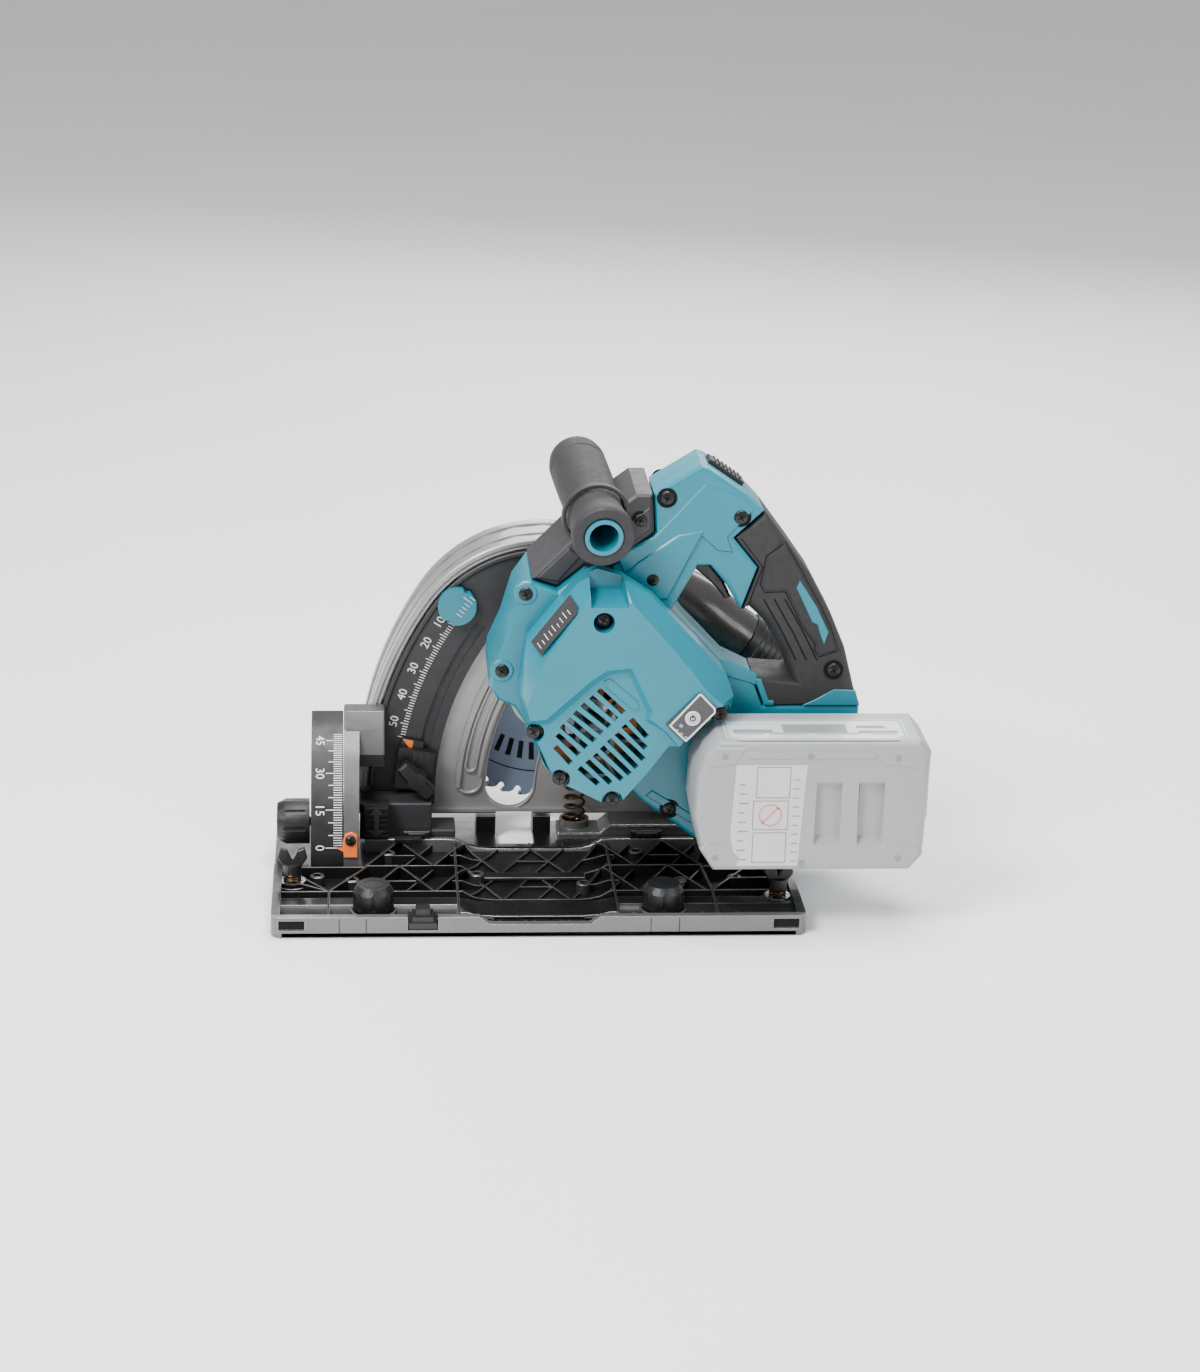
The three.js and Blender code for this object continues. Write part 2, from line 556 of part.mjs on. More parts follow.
// ---------------------------------------------------------------- plunging head
const COVER_OUTLINE = [
  [-12, 133], [-9.8, 114.3], [-4.5, 103], [2.5, 86.5], [11, 77.5], [39.5, 64], [47.3, 67],
  [62.5, 85.7], [72.7, 100.6], [79.4, 100.6], [87.3, 113.1], [106.5, 121.5], [108, 129],
  [103.5, 141.5], [87, 159.5], [61, 186], [44, 197], [30, 201], [20, 196], [-8, 161],
];
const HOUSING_OUTLINE = [
  [-5.7, 189], [-13.9, 177], [-20.2, 154.8], [-27.3, 138.2], [-28.3, 129.2], [-23.1, 120.8],
  [-14, 117], [-6, 104], [0, 94], [8, 84], [20, 76], [44, 76], [58, 84], [72, 98], [90, 104],
  [108, 118], [108, 131], [91, 149], [81, 162], [65, 175.5], [47.5, 187], [34, 193], [24, 197],
  [9, 184.5],
];
const BRACKET_OUTLINE = [
  [-5.2, 190.2], [16, 212], [52, 239], [61, 239], [62.6, 217], [38.2, 197.4], [24.3, 198],
  [9, 185.2],
];
const BODY_OUTLINE = [
  [62, 239], [88, 255.5], [92.5, 254], [114, 239.5], [124, 229.5], [108, 214], [122, 197],
  [113, 171.4], [104.2, 186.3], [94.7, 197.5], [87.9, 197.5], [74.1, 171.4], [93, 152.3],
  [106.1, 138.4], [122, 130.6], [128, 115.2], [183.5, 115.2], [183.5, 46], [176, 40], [100, 34],
  [91.5, 33], [62, 55], [51, 66], [61, 81], [74, 94], [88, 99], [98, 108], [98, 126],
  [83, 143], [72, 156], [57, 170], [44, 181], [39.4, 197.2], [63.6, 216.6],
];
const GRIP_OUTLINE = [
  [124.4, 229.3], [139, 210], [152, 192], [165, 168.5], [174, 148], [180.5, 124],
  [183.5, 115.5], [128.4, 115.5], [122.5, 130.8], [143.5, 130.8], [136.5, 147.5],
  [126.6, 164.2], [117.8, 172.6], [113.4, 171.7], [122.5, 197], [108.6, 214],
];
const TRIGGER_OUTLINE = [
  [87.2, 196.6], [86.5, 193], [94, 187], [100.5, 180.5], [105, 174.5], [108.6, 175.5],
  [103.4, 185.8], [94.4, 196.9],
];
const TRIGGER_STROKE = [0.77, 0.638];

function motorCover() {
  const shell = alongY(COVER_OUTLINE, COVER_FACE, COVER_SEAM - GAP, 5, 1);
  const chamber = rod(26, COVER_FACE + 4, 60, [MOTOR_X, 0, MOTOR_Z], Y_AXIS, 24);
  const rearBoss = cut(rod(11, COVER_FACE + 2, 28, [MOTOR_X, 0, MOTOR_Z], Y_AXIS, 16),
    rod(8.2, COVER_SEAM - 5, 8, [MOTOR_X, 0, MOTOR_Z], Y_AXIS, 14));
  const body = joined(cut(shell, chamber), rearBoss);
  const slots = [];
  const slope = radians(-41);
  const along = [Math.cos(slope), Math.sin(slope)];
  const across = [Math.sin(slope), -Math.cos(slope)];
  for (let column = 0; column < 2; column += 1) {
    for (let row = 0; row < 8; row += 1) {
      const u = column * 22 - 11;
      const v = (row - 3.5) * 6.1;
      if (Math.hypot(u, v) > 25) continue;
      const x = MOTOR_X + u * along[0] + v * across[0];
      const z = MOTOR_Z + u * along[1] + v * across[1];
      const corners = [[-9.6, -1.3], [9.6, -1.3], [9.6, 1.3], [-9.6, 1.3]].map(([a, b]) => [
        x + a * along[0] + b * across[0], z + a * along[1] + b * across[1]]);
      slots.push(alongY(corners, COVER_FACE - 1, COVER_FACE + 5));
    }
  }
  const pocket = rod(3.6, COVER_FACE - 1, 2.2, [POWER_BUTTON[0], 0, POWER_BUTTON[1]], Y_AXIS, 16);
  return cut(body, ...slots, pocket);
}

function motorHousing() {
  const shell = alongY(HOUSING_OUTLINE, COVER_SEAM, HOUSING_END, 1.5, 1);
  const hollow = alongY(inset(HOUSING_OUTLINE, 3.5), COVER_SEAM + 3.5, HOUSING_END - 4);
  const mouth = alongY(inset(COVER_OUTLINE, 4), COVER_SEAM - 1, COVER_SEAM + 4).intersect(
    alongY(inset(HOUSING_OUTLINE, 3.5), COVER_SEAM - 2, COVER_SEAM + 5));
  const cavity = rod(MOTOR_CAVITY, COVER_SEAM - 1, 60, [MOTOR_X, 0, MOTOR_Z], Y_AXIS, 26);
  const sleeve = ring(MOTOR_CAVITY - 0.5, MOTOR_CAVITY + 2.2, -43, 56, [MOTOR_X, 0, MOTOR_Z], Y_AXIS, 26);
  const shaftHole = rod(6, 0, 30, [MOTOR_X, 0, MOTOR_Z], Y_AXIS, 16);
  const dialWell = rod(8.2, -45, 5, [SPEED_DIAL[0], 0, SPEED_DIAL[1]], Y_AXIS, 16);
  const bodyBlock = alongY(inset(BODY_OUTLINE, -3), BODY_NEAR - 3, BODY_FAR + 3);
  const bodySeat = alongY(inset(BODY_OUTLINE, -GAP), BODY_NEAR - GAP, BODY_FAR + GAP);
  const dialBlock = rod(10.5, -45.9, 7, [SPEED_DIAL[0], 0, SPEED_DIAL[1]], Y_AXIS, 16);
  const inside = joined(bodyBlock, dialBlock).intersect(shell);
  return cut(joined(cut(shell, hollow, mouth), sleeve, inside), cavity, shaftHole, dialWell, bodySeat);
}

function bracketSolid() {
  const shape = alongY(BRACKET_OUTLINE, BODY_NEAR, 20, 1.5, 1);
  return cut(shape, rod(HANDLE_RADIUS + GAP, -20, 160, HANDLE_START, HANDLE_AXIS, 28));
}

const HANDLE_RADIUS = 16.5;
const HANDLE_LENGTH = 110.5;
const HANDLE_BORE_DEPTH = 98.5;
const HANDLE_START = [32.3, -66, 222.4];
const HANDLE_AXIS = [-0.0857, 0.986, 0.1463];

function handleGrip() {
  return turned([[10.8, 0], [15.5, 0], [HANDLE_RADIUS, 1.5], [HANDLE_RADIUS, HANDLE_LENGTH - 11],
    [15.5, HANDLE_LENGTH - 6], [12, HANDLE_LENGTH - 1.8], [7, HANDLE_LENGTH], [0, HANDLE_LENGTH],
    [0, HANDLE_BORE_DEPTH], [10.8, HANDLE_BORE_DEPTH], [10.8, 0]], HANDLE_START, HANDLE_AXIS, 22);
}

function handleCore() {
  const end = HANDLE_BORE_DEPTH - 0.5;
  return turned([[8.2, -0.8], [10.5, -0.8], [10.5, end], [0, end], [0, end - 5.5], [8.2, end - 5.5],
    [8.2, -0.8]], HANDLE_START, HANDLE_AXIS, 18);
}

const BUTTON_CENTRE = [102.6, 247.4];
const BUTTON_SLOPE = [0.824, -0.566];

function buttonPoints(length, below, above) {
  const [ax, az] = BUTTON_SLOPE;
  const [nx, nz] = [-az, ax];
  return [[-length / 2, -below], [length / 2, -below], [length / 2, above], [-length / 2, above]]
    .map(([u, v]) => [BUTTON_CENTRE[0] + u * ax + v * nx, BUTTON_CENTRE[1] + u * az + v * nz]);
}

function bodyHalf(y0, y1) {
  const whole = alongY(BODY_OUTLINE, BODY_NEAR, BODY_FAR, 3, 2);
  const half = whole.intersect(block(0, 220, y0, y1, 0, 300));
  const inner = y0 < BODY_MID - 5 ? [BODY_NEAR + BODY_WALL + 2, BODY_MID + 2]
    : [BODY_MID - 2, BODY_FAR - BODY_WALL];
  const switchBay = alongY([[70, 222], [88, 240], [112, 224], [104, 214], [112, 200], [108, 188],
    [98, 201], [84, 202], [72, 182], [60, 190]], inner[0] + 1, inner[1] - 0.01);
  const terminalBay = block(100, 176, Math.max(inner[0], -23), inner[1], 50, 108);
  const railBay = block(106, 200, BODY_NEAR - 1, -26, 52, 103);
  const triggerWay = alongY([[84.5, 198.6], [84.5, 191.5], [94, 185.5], [99.5, 179], [104, 173.5],
    [108.8, 173.6], [114.3, 179.4], [108.5, 190.5], [100, 202.4], [91, 203.4]], -27, -9);
  const buttonWay = alongY(buttonPoints(24.6, 7.5, 4), -25.5, -10.5);
  return cut(half, switchBay, terminalBay, railBay, triggerWay, buttonWay);
}

function rearGrip() {
  return alongY(GRIP_OUTLINE, BODY_NEAR, BODY_FAR, 4.5, 3);
}

function lockOffButton() {
  const plate = alongY(buttonPoints(24, 3.4, 2.2), -25, -11, 0.6, 1);
  return plate;
}

function gearHousing() {
  const drum = alongY([...arc(BLADE_X, BLADE_Z, 21.3, 90, 338, 16), [40, 93], [46, 104], [38, 117],
    [24, 121]], GEARBOX_Y, GEARBOX_END, 1, 1);
  const arm = alongY([[38, 94], [46, 106], [127, 36], ...arc(PIVOT_X, PIVOT_Z, 11, 40, -110, 6),
    [104, 32]], 31, GEARBOX_END);
  const hub = rod(11, 24, 8, [PIVOT_X, 0, PIVOT_Z], Y_AXIS, 24);
  const gearRoom = joined(rod(19.4, GEARBOX_Y - 1, 8.2, [BLADE_X, 0, BLADE_Z], Y_AXIS, 24),
    rod(8, GEARBOX_Y - 1, 8.2, [MOTOR_X, 0, MOTOR_Z], Y_AXIS, 14));
  const bearingRoom = rod(11.4, 30, 11, [BLADE_X, 0, BLADE_Z], Y_AXIS, 16);
  const spindleHole = rod(SPINDLE_RADIUS + 0.6, 30, 20, [BLADE_X, 0, BLADE_Z], Y_AXIS, 14);
  const pinHole = rod(PIVOT_RADIUS + GAP, 20, 30, [PIVOT_X, 0, PIVOT_Z], Y_AXIS, 20);
  return cut(joined(drum, arm, hub), gearRoom, bearingRoom, spindleHole, pinHole);
}

function gearboxPlate() {
  const plate = alongY([...arc(BLADE_X, BLADE_Z, 21.3, 90, 338, 16), [40, 93], [46, 104], [38, 117],
    [24, 121]], HOUSING_END + GAP, GEARBOX_Y - GAP);
  return cut(plate, rod(8.3, 10, 20, [BLADE_X, 0, BLADE_Z], Y_AXIS, 20),
    rod(8.3, 10, 20, [MOTOR_X, 0, MOTOR_Z], Y_AXIS, 20));
}

function stator() {
  const stack = ring(15.8, 27, -40, 28, [MOTOR_X, 0, MOTOR_Z], Y_AXIS, 24);
  const slots = circle(0, 0, 19.5, 6).map(([u, w]) => rod(3, -45, 40, [MOTOR_X + u, 0, MOTOR_Z + w],
    Y_AXIS, 8));
  return cut(stack, ...slots);
}

function rotor() {
  return turned([[0, -50.8], [3, -50.8], [3, -41], [14.9, -40], [14.9, -12], [3, -11], [3, 31], [0, 31]],
    [MOTOR_X, 0, MOTOR_Z], Y_AXIS, 24);
}

function fan() {
  const disc = rod(25, 2, 2, [MOTOR_X, 0, MOTOR_Z], Y_AXIS, 24);
  const hub = rod(6, -8, 12, [MOTOR_X, 0, MOTOR_Z], Y_AXIS, 14);
  const blades = [];
  for (let i = 0; i < 9; i += 1) {
    const turn = i * 40;
    blades.push(alongY([polar(MOTOR_X, MOTOR_Z, 5, turn), polar(MOTOR_X, MOTOR_Z, 5, turn + 20),
      polar(MOTOR_X, MOTOR_Z, 24.5, turn + 27), polar(MOTOR_X, MOTOR_Z, 24.5, turn + 23)], -8, 3));
  }
  return cut(joined(disc, hub, ...blades), rod(3.2, -20, 40, [MOTOR_X, 0, MOTOR_Z], Y_AXIS, 14));
}

function toothed(cx, cz, teeth, y0, y1, phase) {
  const pitch = GEAR_MODULE * teeth / 2;
  const points = [];
  const step = 360 / teeth;
  for (let i = 0; i < teeth; i += 1) {
    const middle = phase + i * step;
    points.push(polar(cx, cz, pitch - 1.2 * GEAR_MODULE, middle - step * 0.36));
    points.push(polar(cx, cz, pitch + 0.75 * GEAR_MODULE, middle - step * 0.1));
    points.push(polar(cx, cz, pitch + 0.75 * GEAR_MODULE, middle + step * 0.1));
    points.push(polar(cx, cz, pitch - 1.2 * GEAR_MODULE, middle + step * 0.36));
  }
  return alongY(points, y0, y1);
}

const MESH_ANGLE = THREE.MathUtils.radToDeg(Math.atan2(MOTOR_Z - BLADE_Z, MOTOR_X - BLADE_X));

function driveGear() {
  return cut(toothed(BLADE_X, BLADE_Z, GEAR_TEETH, 24.6, 30.6, MESH_ANGLE),
    rod(SPINDLE_RADIUS + 0.15, 0, 60, [BLADE_X, 0, BLADE_Z], Y_AXIS, 20));
}

function pinion() {
  return cut(toothed(MOTOR_X, MOTOR_Z, PINION_TEETH, 24.6, 30.6, MESH_ANGLE + 180 + 180 / PINION_TEETH),
    rod(3.15, 0, 60, [MOTOR_X, 0, MOTOR_Z], Y_AXIS, 16));
}

function spindle() {
  return turned([[0, 18.8], [3.5, 18.8], [3.5, 24.2], [SPINDLE_RADIUS, 24.2], [SPINDLE_RADIUS, 62],
    [5, 62.2], [5, 74.6], [0, 74.6]], [BLADE_X, 0, BLADE_Z], Y_AXIS, 16);
}

function sawBlade() {
  const points = [];
  const step = 360 / BLADE_TEETH;
  for (let i = 0; i < BLADE_TEETH; i += 1) {
    points.push(polar(BLADE_X, BLADE_Z, BLADE_RADIUS, i * step));
    points.push(polar(BLADE_X, BLADE_Z, BLADE_RADIUS - 4, i * step + step * 0.25));
  }
  return cut(alongY(points, BLADE_Y - BLADE_THICKNESS / 2, BLADE_Y + BLADE_THICKNESS / 2),
    rod(5.15, 40, 60, [BLADE_X, 0, BLADE_Z], Y_AXIS, 16));
}

function flange(y0, length) {
  return ring(5.15, 18, y0, length, [BLADE_X, 0, BLADE_Z], Y_AXIS, 20);
}

function bladeBolt() {
  const head = alongY(circle(BLADE_X, BLADE_Z, 7.5, 6), 74.9, 79.5);
  return head;
}

function battery() {
  const outline = [[97, 115], [209, 115], [215.7, 108], [214, 46], [207, 37.3], [96, 37.3],
    [88, 50], [84, 70], [85, 95], [90, 107]];
  const tub = alongY(outline, -98, -46.4, 5, 2);
  const rails = alongY([[110, 56], [110, 99], [196, 99], [196, 56]], -47, -27, 0);
  const railCuts = [block(105, 200, -40, -33, 50, 61), block(105, 200, -40, -33, 94, 105)];
  const grooves = [[152, 166], [176, 190]].map(([x0, x1]) => alongX([[-99, 92], [-94, 88], [-94, 58],
    [-99, 52]], x0, x1));
  const buttonPocket = block(211.5, 220, -82.5, -59.5, 63.5, 92.5);
  return cut(joined(tub, cut(rails, ...railCuts)), ...grooves, buttonPocket);
}

function batteryButton() {
  return block(213.5, 217.5, -82, -60, 64, 92);
}

function controlPanel() {
  const points = [[68.6, 117.4], [86.3, 136], [97.1, 127.5], [79.5, 106.8]];
  return cut(alongY(points, COVER_FACE - 1.4, COVER_FACE - GAP, 0.4, 1),
    rod(3.6, -90, 30, [POWER_BUTTON[0], 0, POWER_BUTTON[1]], Y_AXIS, 16));
}

// ---------------------------------------------------------------- assembly
add('base_plate', 'casting', basePlate());
add('front_bevel_quadrant', 'black', bevelQuadrant(-129, -110.4, -114.4, -110.4, SCALE_RADIUS,
  LOCK_RADIUS, FRONT_ARC));
add('rear_bevel_quadrant', 'black', bevelQuadrant(137.9, 148, 137.9, 141.9, REAR_RADIUS,
  REAR_LOCK_RADIUS, REAR_ARC));
add('front_guide_pad', 'black', block(-80, -64, 12, FLANGE_Y - GAP, RIB_HEIGHT + GAP, RIB_HEIGHT + 3));
add('front_rail_knob', 'black', flutedKnob(11.6, 14, 3.5, [RAIL_KNOBS[0], KNOB_Y, 9], Z_AXIS));
add('rear_rail_knob', 'black', flutedKnob(11.6, 14, 3.5, [RAIL_KNOBS[1], KNOB_Y, 9], Z_AXIS));
add('front_corner_screw', 'black', wingScrew(...CORNER_SCREWS[0]));
add('rear_corner_screw', 'black', wingScrew(...CORNER_SCREWS[1]));
add('anti_tip_slider', 'black', antiTipSlider());

add('front_bevel_plate', 'silver', frontBevelPlate());
add('rear_bevel_plate', 'silver', rearBevelPlate());
add('front_frame_block', 'charcoal', frontFrameBlock());
add('rear_frame_beam', 'silver', rearFrameBeam());
add('blade_case', 'silver', bladeCase());
add('blade_case_cover', 'silver', caseCover());
add('dust_nozzle', 'silver', dustNozzle());
add('dust_connector', 'black', dustConnector());
add('depth_scale', 'charcoal', depthScale());
add('depth_stop', 'charcoal', depthStop());
add('depth_clamp_knob', 'black', clampKnob());
add('scoring_stop_disc', 'teal', scoringDisc());
add('bevel_release_slider', 'black', arrowSlider());
add('front_lock_knob', 'black', lockKnob(13.4, -130, 19, -107, LOCK_RADIUS));
add('rear_lock_knob', 'black', lockKnob(11.5, 149, 15, 135, REAR_LOCK_RADIUS));
add('return_spring', 'spring', returnSpring());
add('plunge_pin', 'steel', turned([[0, 21], [8, 21], [8, 23.6], [PIVOT_RADIUS, 23.6], [PIVOT_RADIUS, 60],
  [0, 60]], [PIVOT_X, 0, PIVOT_Z], Y_AXIS, 20));

add('motor_cover', 'teal', motorCover());
add('motor_housing', 'teal', motorHousing());
add('handle_bracket', 'charcoal', bracketSolid());
add('front_handle_grip', 'rubber', handleGrip());
add('front_handle_core', 'teal', handleCore());
add('body_shell_near', 'teal', bodyHalf(BODY_NEAR - 1, BODY_MID - GAP / 2));
add('body_shell_far', 'teal', bodyHalf(BODY_MID + GAP / 2, BODY_FAR + 1));
add('rear_grip', 'rubber', rearGrip());
add('trigger', 'black', alongY(TRIGGER_OUTLINE, -26, -10, 1, 1));
add('lock_off_button', 'black', lockOffButton());
add('switch_unit', 'black', block(74, 90, -28, -8, 204, 226));
add('terminal_block', 'black', block(112, 150, -21, -6, 60, 98));
add('controller', 'casting', block(8, 44, -44, -30, 142, 168));
add('speed_dial', 'black', rod(7.6, -44.7, 4.4, [SPEED_DIAL[0], 0, SPEED_DIAL[1]], Y_AXIS, 20));
add('control_panel', 'black', controlPanel());
add('power_button', 'steel', rod(3.2, COVER_FACE - 1.9, 1.8, [POWER_BUTTON[0], 0, POWER_BUTTON[1]],
  Y_AXIS, 16));
add('gearbox_plate', 'silver', gearboxPlate());
add('gear_housing', 'silver', gearHousing());
add('stator', 'copper', stator());
add('rotor', 'steel', rotor());
add('fan', 'black', fan());
add('pinion', 'steel', pinion());
add('motor_rear_bearing', 'steel', ring(3.2, 7.9, COVER_SEAM - 4.7, 4.2, [MOTOR_X, 0, MOTOR_Z], Y_AXIS, 14));
add('motor_front_bearing', 'steel', ring(3.2, 8, 18.8, 4.6, [MOTOR_X, 0, MOTOR_Z], Y_AXIS, 14));
add('spindle_rear_bearing', 'steel', ring(3.7, 8, 18.8, 4.6, [BLADE_X, 0, BLADE_Z], Y_AXIS, 14));
add('spindle_front_bearing', 'steel', ring(6.2, 11, 32, 8.6, [BLADE_X, 0, BLADE_Z], Y_AXIS, 14));
add('spindle', 'steel', spindle());
add('drive_gear', 'steel', driveGear());
add('inner_flange', 'steel', flange(62.6, BLADE_Y - BLADE_THICKNESS / 2 - GAP - 62.6));
add('saw_blade', 'blade', sawBlade());
add('outer_flange', 'steel', flange(BLADE_Y + BLADE_THICKNESS / 2 + GAP, 3.6));
add('blade_bolt', 'steel', bladeBolt());
add('battery_pack', 'battery', battery());
add('battery_button', 'battery', batteryButton());

export default saw;
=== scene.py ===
"""Cordless plunge-cut circular saw: looks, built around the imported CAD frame.

Helper functions take millimetres in the row frame; meshes are stored in metres.
"""
import math

import bmesh
import bpy
from mathutils import Matrix, Vector


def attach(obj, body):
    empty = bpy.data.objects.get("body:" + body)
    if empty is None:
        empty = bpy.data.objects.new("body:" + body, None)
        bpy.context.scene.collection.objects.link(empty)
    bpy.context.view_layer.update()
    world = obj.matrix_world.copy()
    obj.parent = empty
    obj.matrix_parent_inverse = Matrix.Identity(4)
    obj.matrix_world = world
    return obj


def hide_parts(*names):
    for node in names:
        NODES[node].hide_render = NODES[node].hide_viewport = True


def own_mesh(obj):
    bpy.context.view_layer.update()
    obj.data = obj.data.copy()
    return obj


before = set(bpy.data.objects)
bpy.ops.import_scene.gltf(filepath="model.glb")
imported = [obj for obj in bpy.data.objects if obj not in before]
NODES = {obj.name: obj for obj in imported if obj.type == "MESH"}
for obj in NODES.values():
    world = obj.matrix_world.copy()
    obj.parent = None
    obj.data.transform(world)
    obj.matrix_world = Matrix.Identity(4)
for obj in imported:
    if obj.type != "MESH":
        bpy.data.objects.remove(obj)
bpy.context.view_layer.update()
MM = 0.001

# ---------------------------------------------------------------- shared dimensions (mm)
PIVOT_X = 120.0
PIVOT_Z = 26.0
BLADE_X = 8.0
BLADE_Z = 101.0
BLADE_Y = 68.5
SWING = math.hypot(PIVOT_X - BLADE_X, BLADE_Z - PIVOT_Z)
CASE_TOP_RADIUS = 86.5
COVER_FACE = -76.0
COVER_SEAM = -46.0
SCALE_RADIUS = 84.2
MOTOR_X = 29.633
MOTOR_Z = 105.0


# ---------------------------------------------------------------- colours and materials
def srgb(red, green, blue):
    """8-bit sRGB to a linear colour."""
    channels = []
    for value in (red, green, blue):
        share = value / 255
        channels.append(share / 12.92 if share <= 0.04045 else ((share + 0.055) / 1.055) ** 2.4)
    return (*channels, 1.0)


def shaded(colour, factor):
    return tuple(min(1.0, c * factor) for c in colour[:3]) + (1.0,)


class Paint:
    """A node material: a principled shader with layers of noise for colour, gloss and relief."""

    def __init__(self, name, metallic=0.0, coat=0.0, specular=0.5):
        self.material = bpy.data.materials.new(name)
        self.material.use_nodes = True
        self.tree = self.material.node_tree
        self.shader = self.tree.nodes["Principled BSDF"]
        self.shader.inputs["Metallic"].default_value = metallic
        self.shader.inputs["Coat Weight"].default_value = coat
        self.shader.inputs["Specular IOR Level"].default_value = specular
        self.place = self.tree.nodes.new("ShaderNodeTexCoord").outputs["Object"]

    def link(self, output, target):
        self.tree.links.new(output, target)

    def noise(self, scale, detail=3.0, stretch=None):
        node = self.tree.nodes.new("ShaderNodeTexNoise")
        node.inputs["Scale"].default_value = scale
        node.inputs["Detail"].default_value = detail
        source = self.place
        if stretch:
            mapping = self.tree.nodes.new("ShaderNodeMapping")
            mapping.inputs["Scale"].default_value = stretch
            self.link(self.place, mapping.inputs["Vector"])
            source = mapping.outputs["Vector"]
        self.link(source, node.inputs["Vector"])
        return node.outputs["Fac"]

    def ramp(self, factor, low, high, start=0.35, end=0.65):
        node = self.tree.nodes.new("ShaderNodeValToRGB")
        node.color_ramp.elements[0].position = start
        node.color_ramp.elements[1].position = end
        node.color_ramp.elements[0].color = low
        node.color_ramp.elements[1].color = high
        self.link(factor, node.inputs["Fac"])
        return node.outputs["Color"]

    def spread(self, factor, low, high):
        node = self.tree.nodes.new("ShaderNodeMapRange")
        node.inputs["From Min"].default_value = 0.3
        node.inputs["From Max"].default_value = 0.7
        node.inputs["To Min"].default_value = low
        node.inputs["To Max"].default_value = high
        self.link(factor, node.inputs["Value"])
        return node.outputs["Result"]

    def colour(self, value, variation=0.06, scale=14.0):
        mix = self.ramp(self.noise(scale), shaded(value, 1 - variation), shaded(value, 1 + variation))
        self.link(mix, self.shader.inputs["Base Color"])
        return self

    def gloss(self, roughness, variation=0.05, scale=60.0):
        factor = self.noise(scale)
        self.link(self.spread(factor, roughness - variation, roughness + variation),
                  self.shader.inputs["Roughness"])
        return self

    def mix(self, factor, value):
        """Mixes another colour over the base colour."""
        base = self.shader.inputs["Base Color"]
        blend = self.tree.nodes.new("ShaderNodeMix")
        blend.data_type = "RGBA"
        self.link(factor, blend.inputs[0])
        self.link(base.links[0].from_socket, blend.inputs[6])
        blend.inputs[7].default_value = value
        self.link(blend.outputs[2], base)

    def beyond(self, axis, limit, side):
        """1 where a coordinate, in mm, lies beyond a limit; side is GREATER_THAN or LESS_THAN."""
        split = self.tree.nodes.new("ShaderNodeSeparateXYZ")
        self.link(self.place, split.inputs[0])
        test = self.tree.nodes.new("ShaderNodeMath")
        test.operation = side
        self.link(split.outputs[axis], test.inputs[0])
        test.inputs[1].default_value = limit * MM
        return test.outputs[0]

    def relief(self, *layers):
        """Layers of (scale, depth in mm, stretch or None), one bump on the next."""
        normal = None
        for scale, depth, stretch in layers:
            bump = self.tree.nodes.new("ShaderNodeBump")
            bump.inputs["Strength"].default_value = 0.6
            bump.inputs["Distance"].default_value = depth * MM
            self.link(self.noise(scale, 2.0, stretch), bump.inputs["Height"])
            if normal:
                self.link(normal, bump.inputs["Normal"])
            normal = bump.outputs["Normal"]
        self.link(normal, self.shader.inputs["Normal"])
        return self


def teal_plastic():
    paint = Paint("teal_plastic", coat=0.16)
    return paint.colour(srgb(2, 118, 137), 0.05, 9).gloss(0.36, 0.04, 240).relief(
        (2600, 0.05, None), (900, 0.05, None)).material


def dark_teal():
    paint = Paint("teal_shadow", coat=0.02)
    return paint.colour(srgb(4, 84, 98), 0.05, 20).gloss(0.5, 0.05, 240).relief(
        (2600, 0.05, None)).material


def charcoal_plastic():
    paint = Paint("charcoal_plastic")
    return paint.colour(srgb(44, 43, 46), 0.08, 12).gloss(0.52, 0.06, 200).relief(
        (2300, 0.09, None), (700, 0.04, None)).material


def black_plastic():
    paint = Paint("black_plastic", coat=0.04)
    return paint.colour(srgb(20, 20, 22), 0.14, 20).gloss(0.42, 0.08, 160).relief(
        (2200, 0.06, None), (500, 0.05, None)).material


# Lighter copies of the teal, charcoal, silver and pale paints for bevelled edges: painted highlight along the
# rounded edges; silver_edge on the base rim is also edge wear.
def teal_edge():
    paint = Paint("teal_edge", coat=0.1)
    return paint.colour(srgb(28, 142, 160), 0.16, 60).gloss(0.30, 0.06, 240).relief(
        (2000, 0.05, None)).material


def charcoal_edge():
    paint = Paint("charcoal_edge")
    return paint.colour(srgb(66, 65, 68), 0.20, 70).gloss(0.42, 0.08, 240).relief(
        (2000, 0.06, None)).material


def silver_edge():
    paint = Paint("silver_edge", metallic=0.85)
    return paint.colour(srgb(172, 170, 166), 0.18, 60).gloss(0.28, 0.08, 240).relief(
        (1600, 0.05, None)).material


def pale_edge():
    paint = Paint("pale_edge", coat=0.08)
    return paint.colour(srgb(176, 177, 179), 0.08, 60).gloss(0.36, 0.06, 240).relief(
        (2000, 0.04, None)).material


def soft_rubber():
    paint = Paint("soft_rubber")
    return paint.colour(srgb(38, 37, 39), 0.10, 16).gloss(0.66, 0.07, 220).relief(
        (1700, 0.14, None), (600, 0.05, None)).material


def textured_rubber():
    paint = Paint("textured_rubber")
    return paint.colour(srgb(36, 35, 37), 0.14, 30).gloss(0.72, 0.07, 220).relief(
        (1250, 0.32, None), (500, 0.08, None)).material


def black_casting():
    paint = Paint("black_casting", metallic=0.35, coat=0.12)
    return paint.colour(srgb(50, 49, 49), 0.14, 10).gloss(0.34, 0.08, 120).relief(
        (900, 0.12, None), (160, 0.12, None)).material


def base_metal():
    """Black casting whose rim on the motor side is bare silver metal."""
    paint = Paint("base_metal", metallic=0.55, coat=0.08)
    paint.colour(srgb(30, 29, 29), 0.16, 10)
    paint.mix(paint.beyond("Y", -95.3, "LESS_THAN"), srgb(112, 110, 108))
    return paint.gloss(0.36, 0.08, 120).relief((900, 0.10, None), (160, 0.10, None)).material
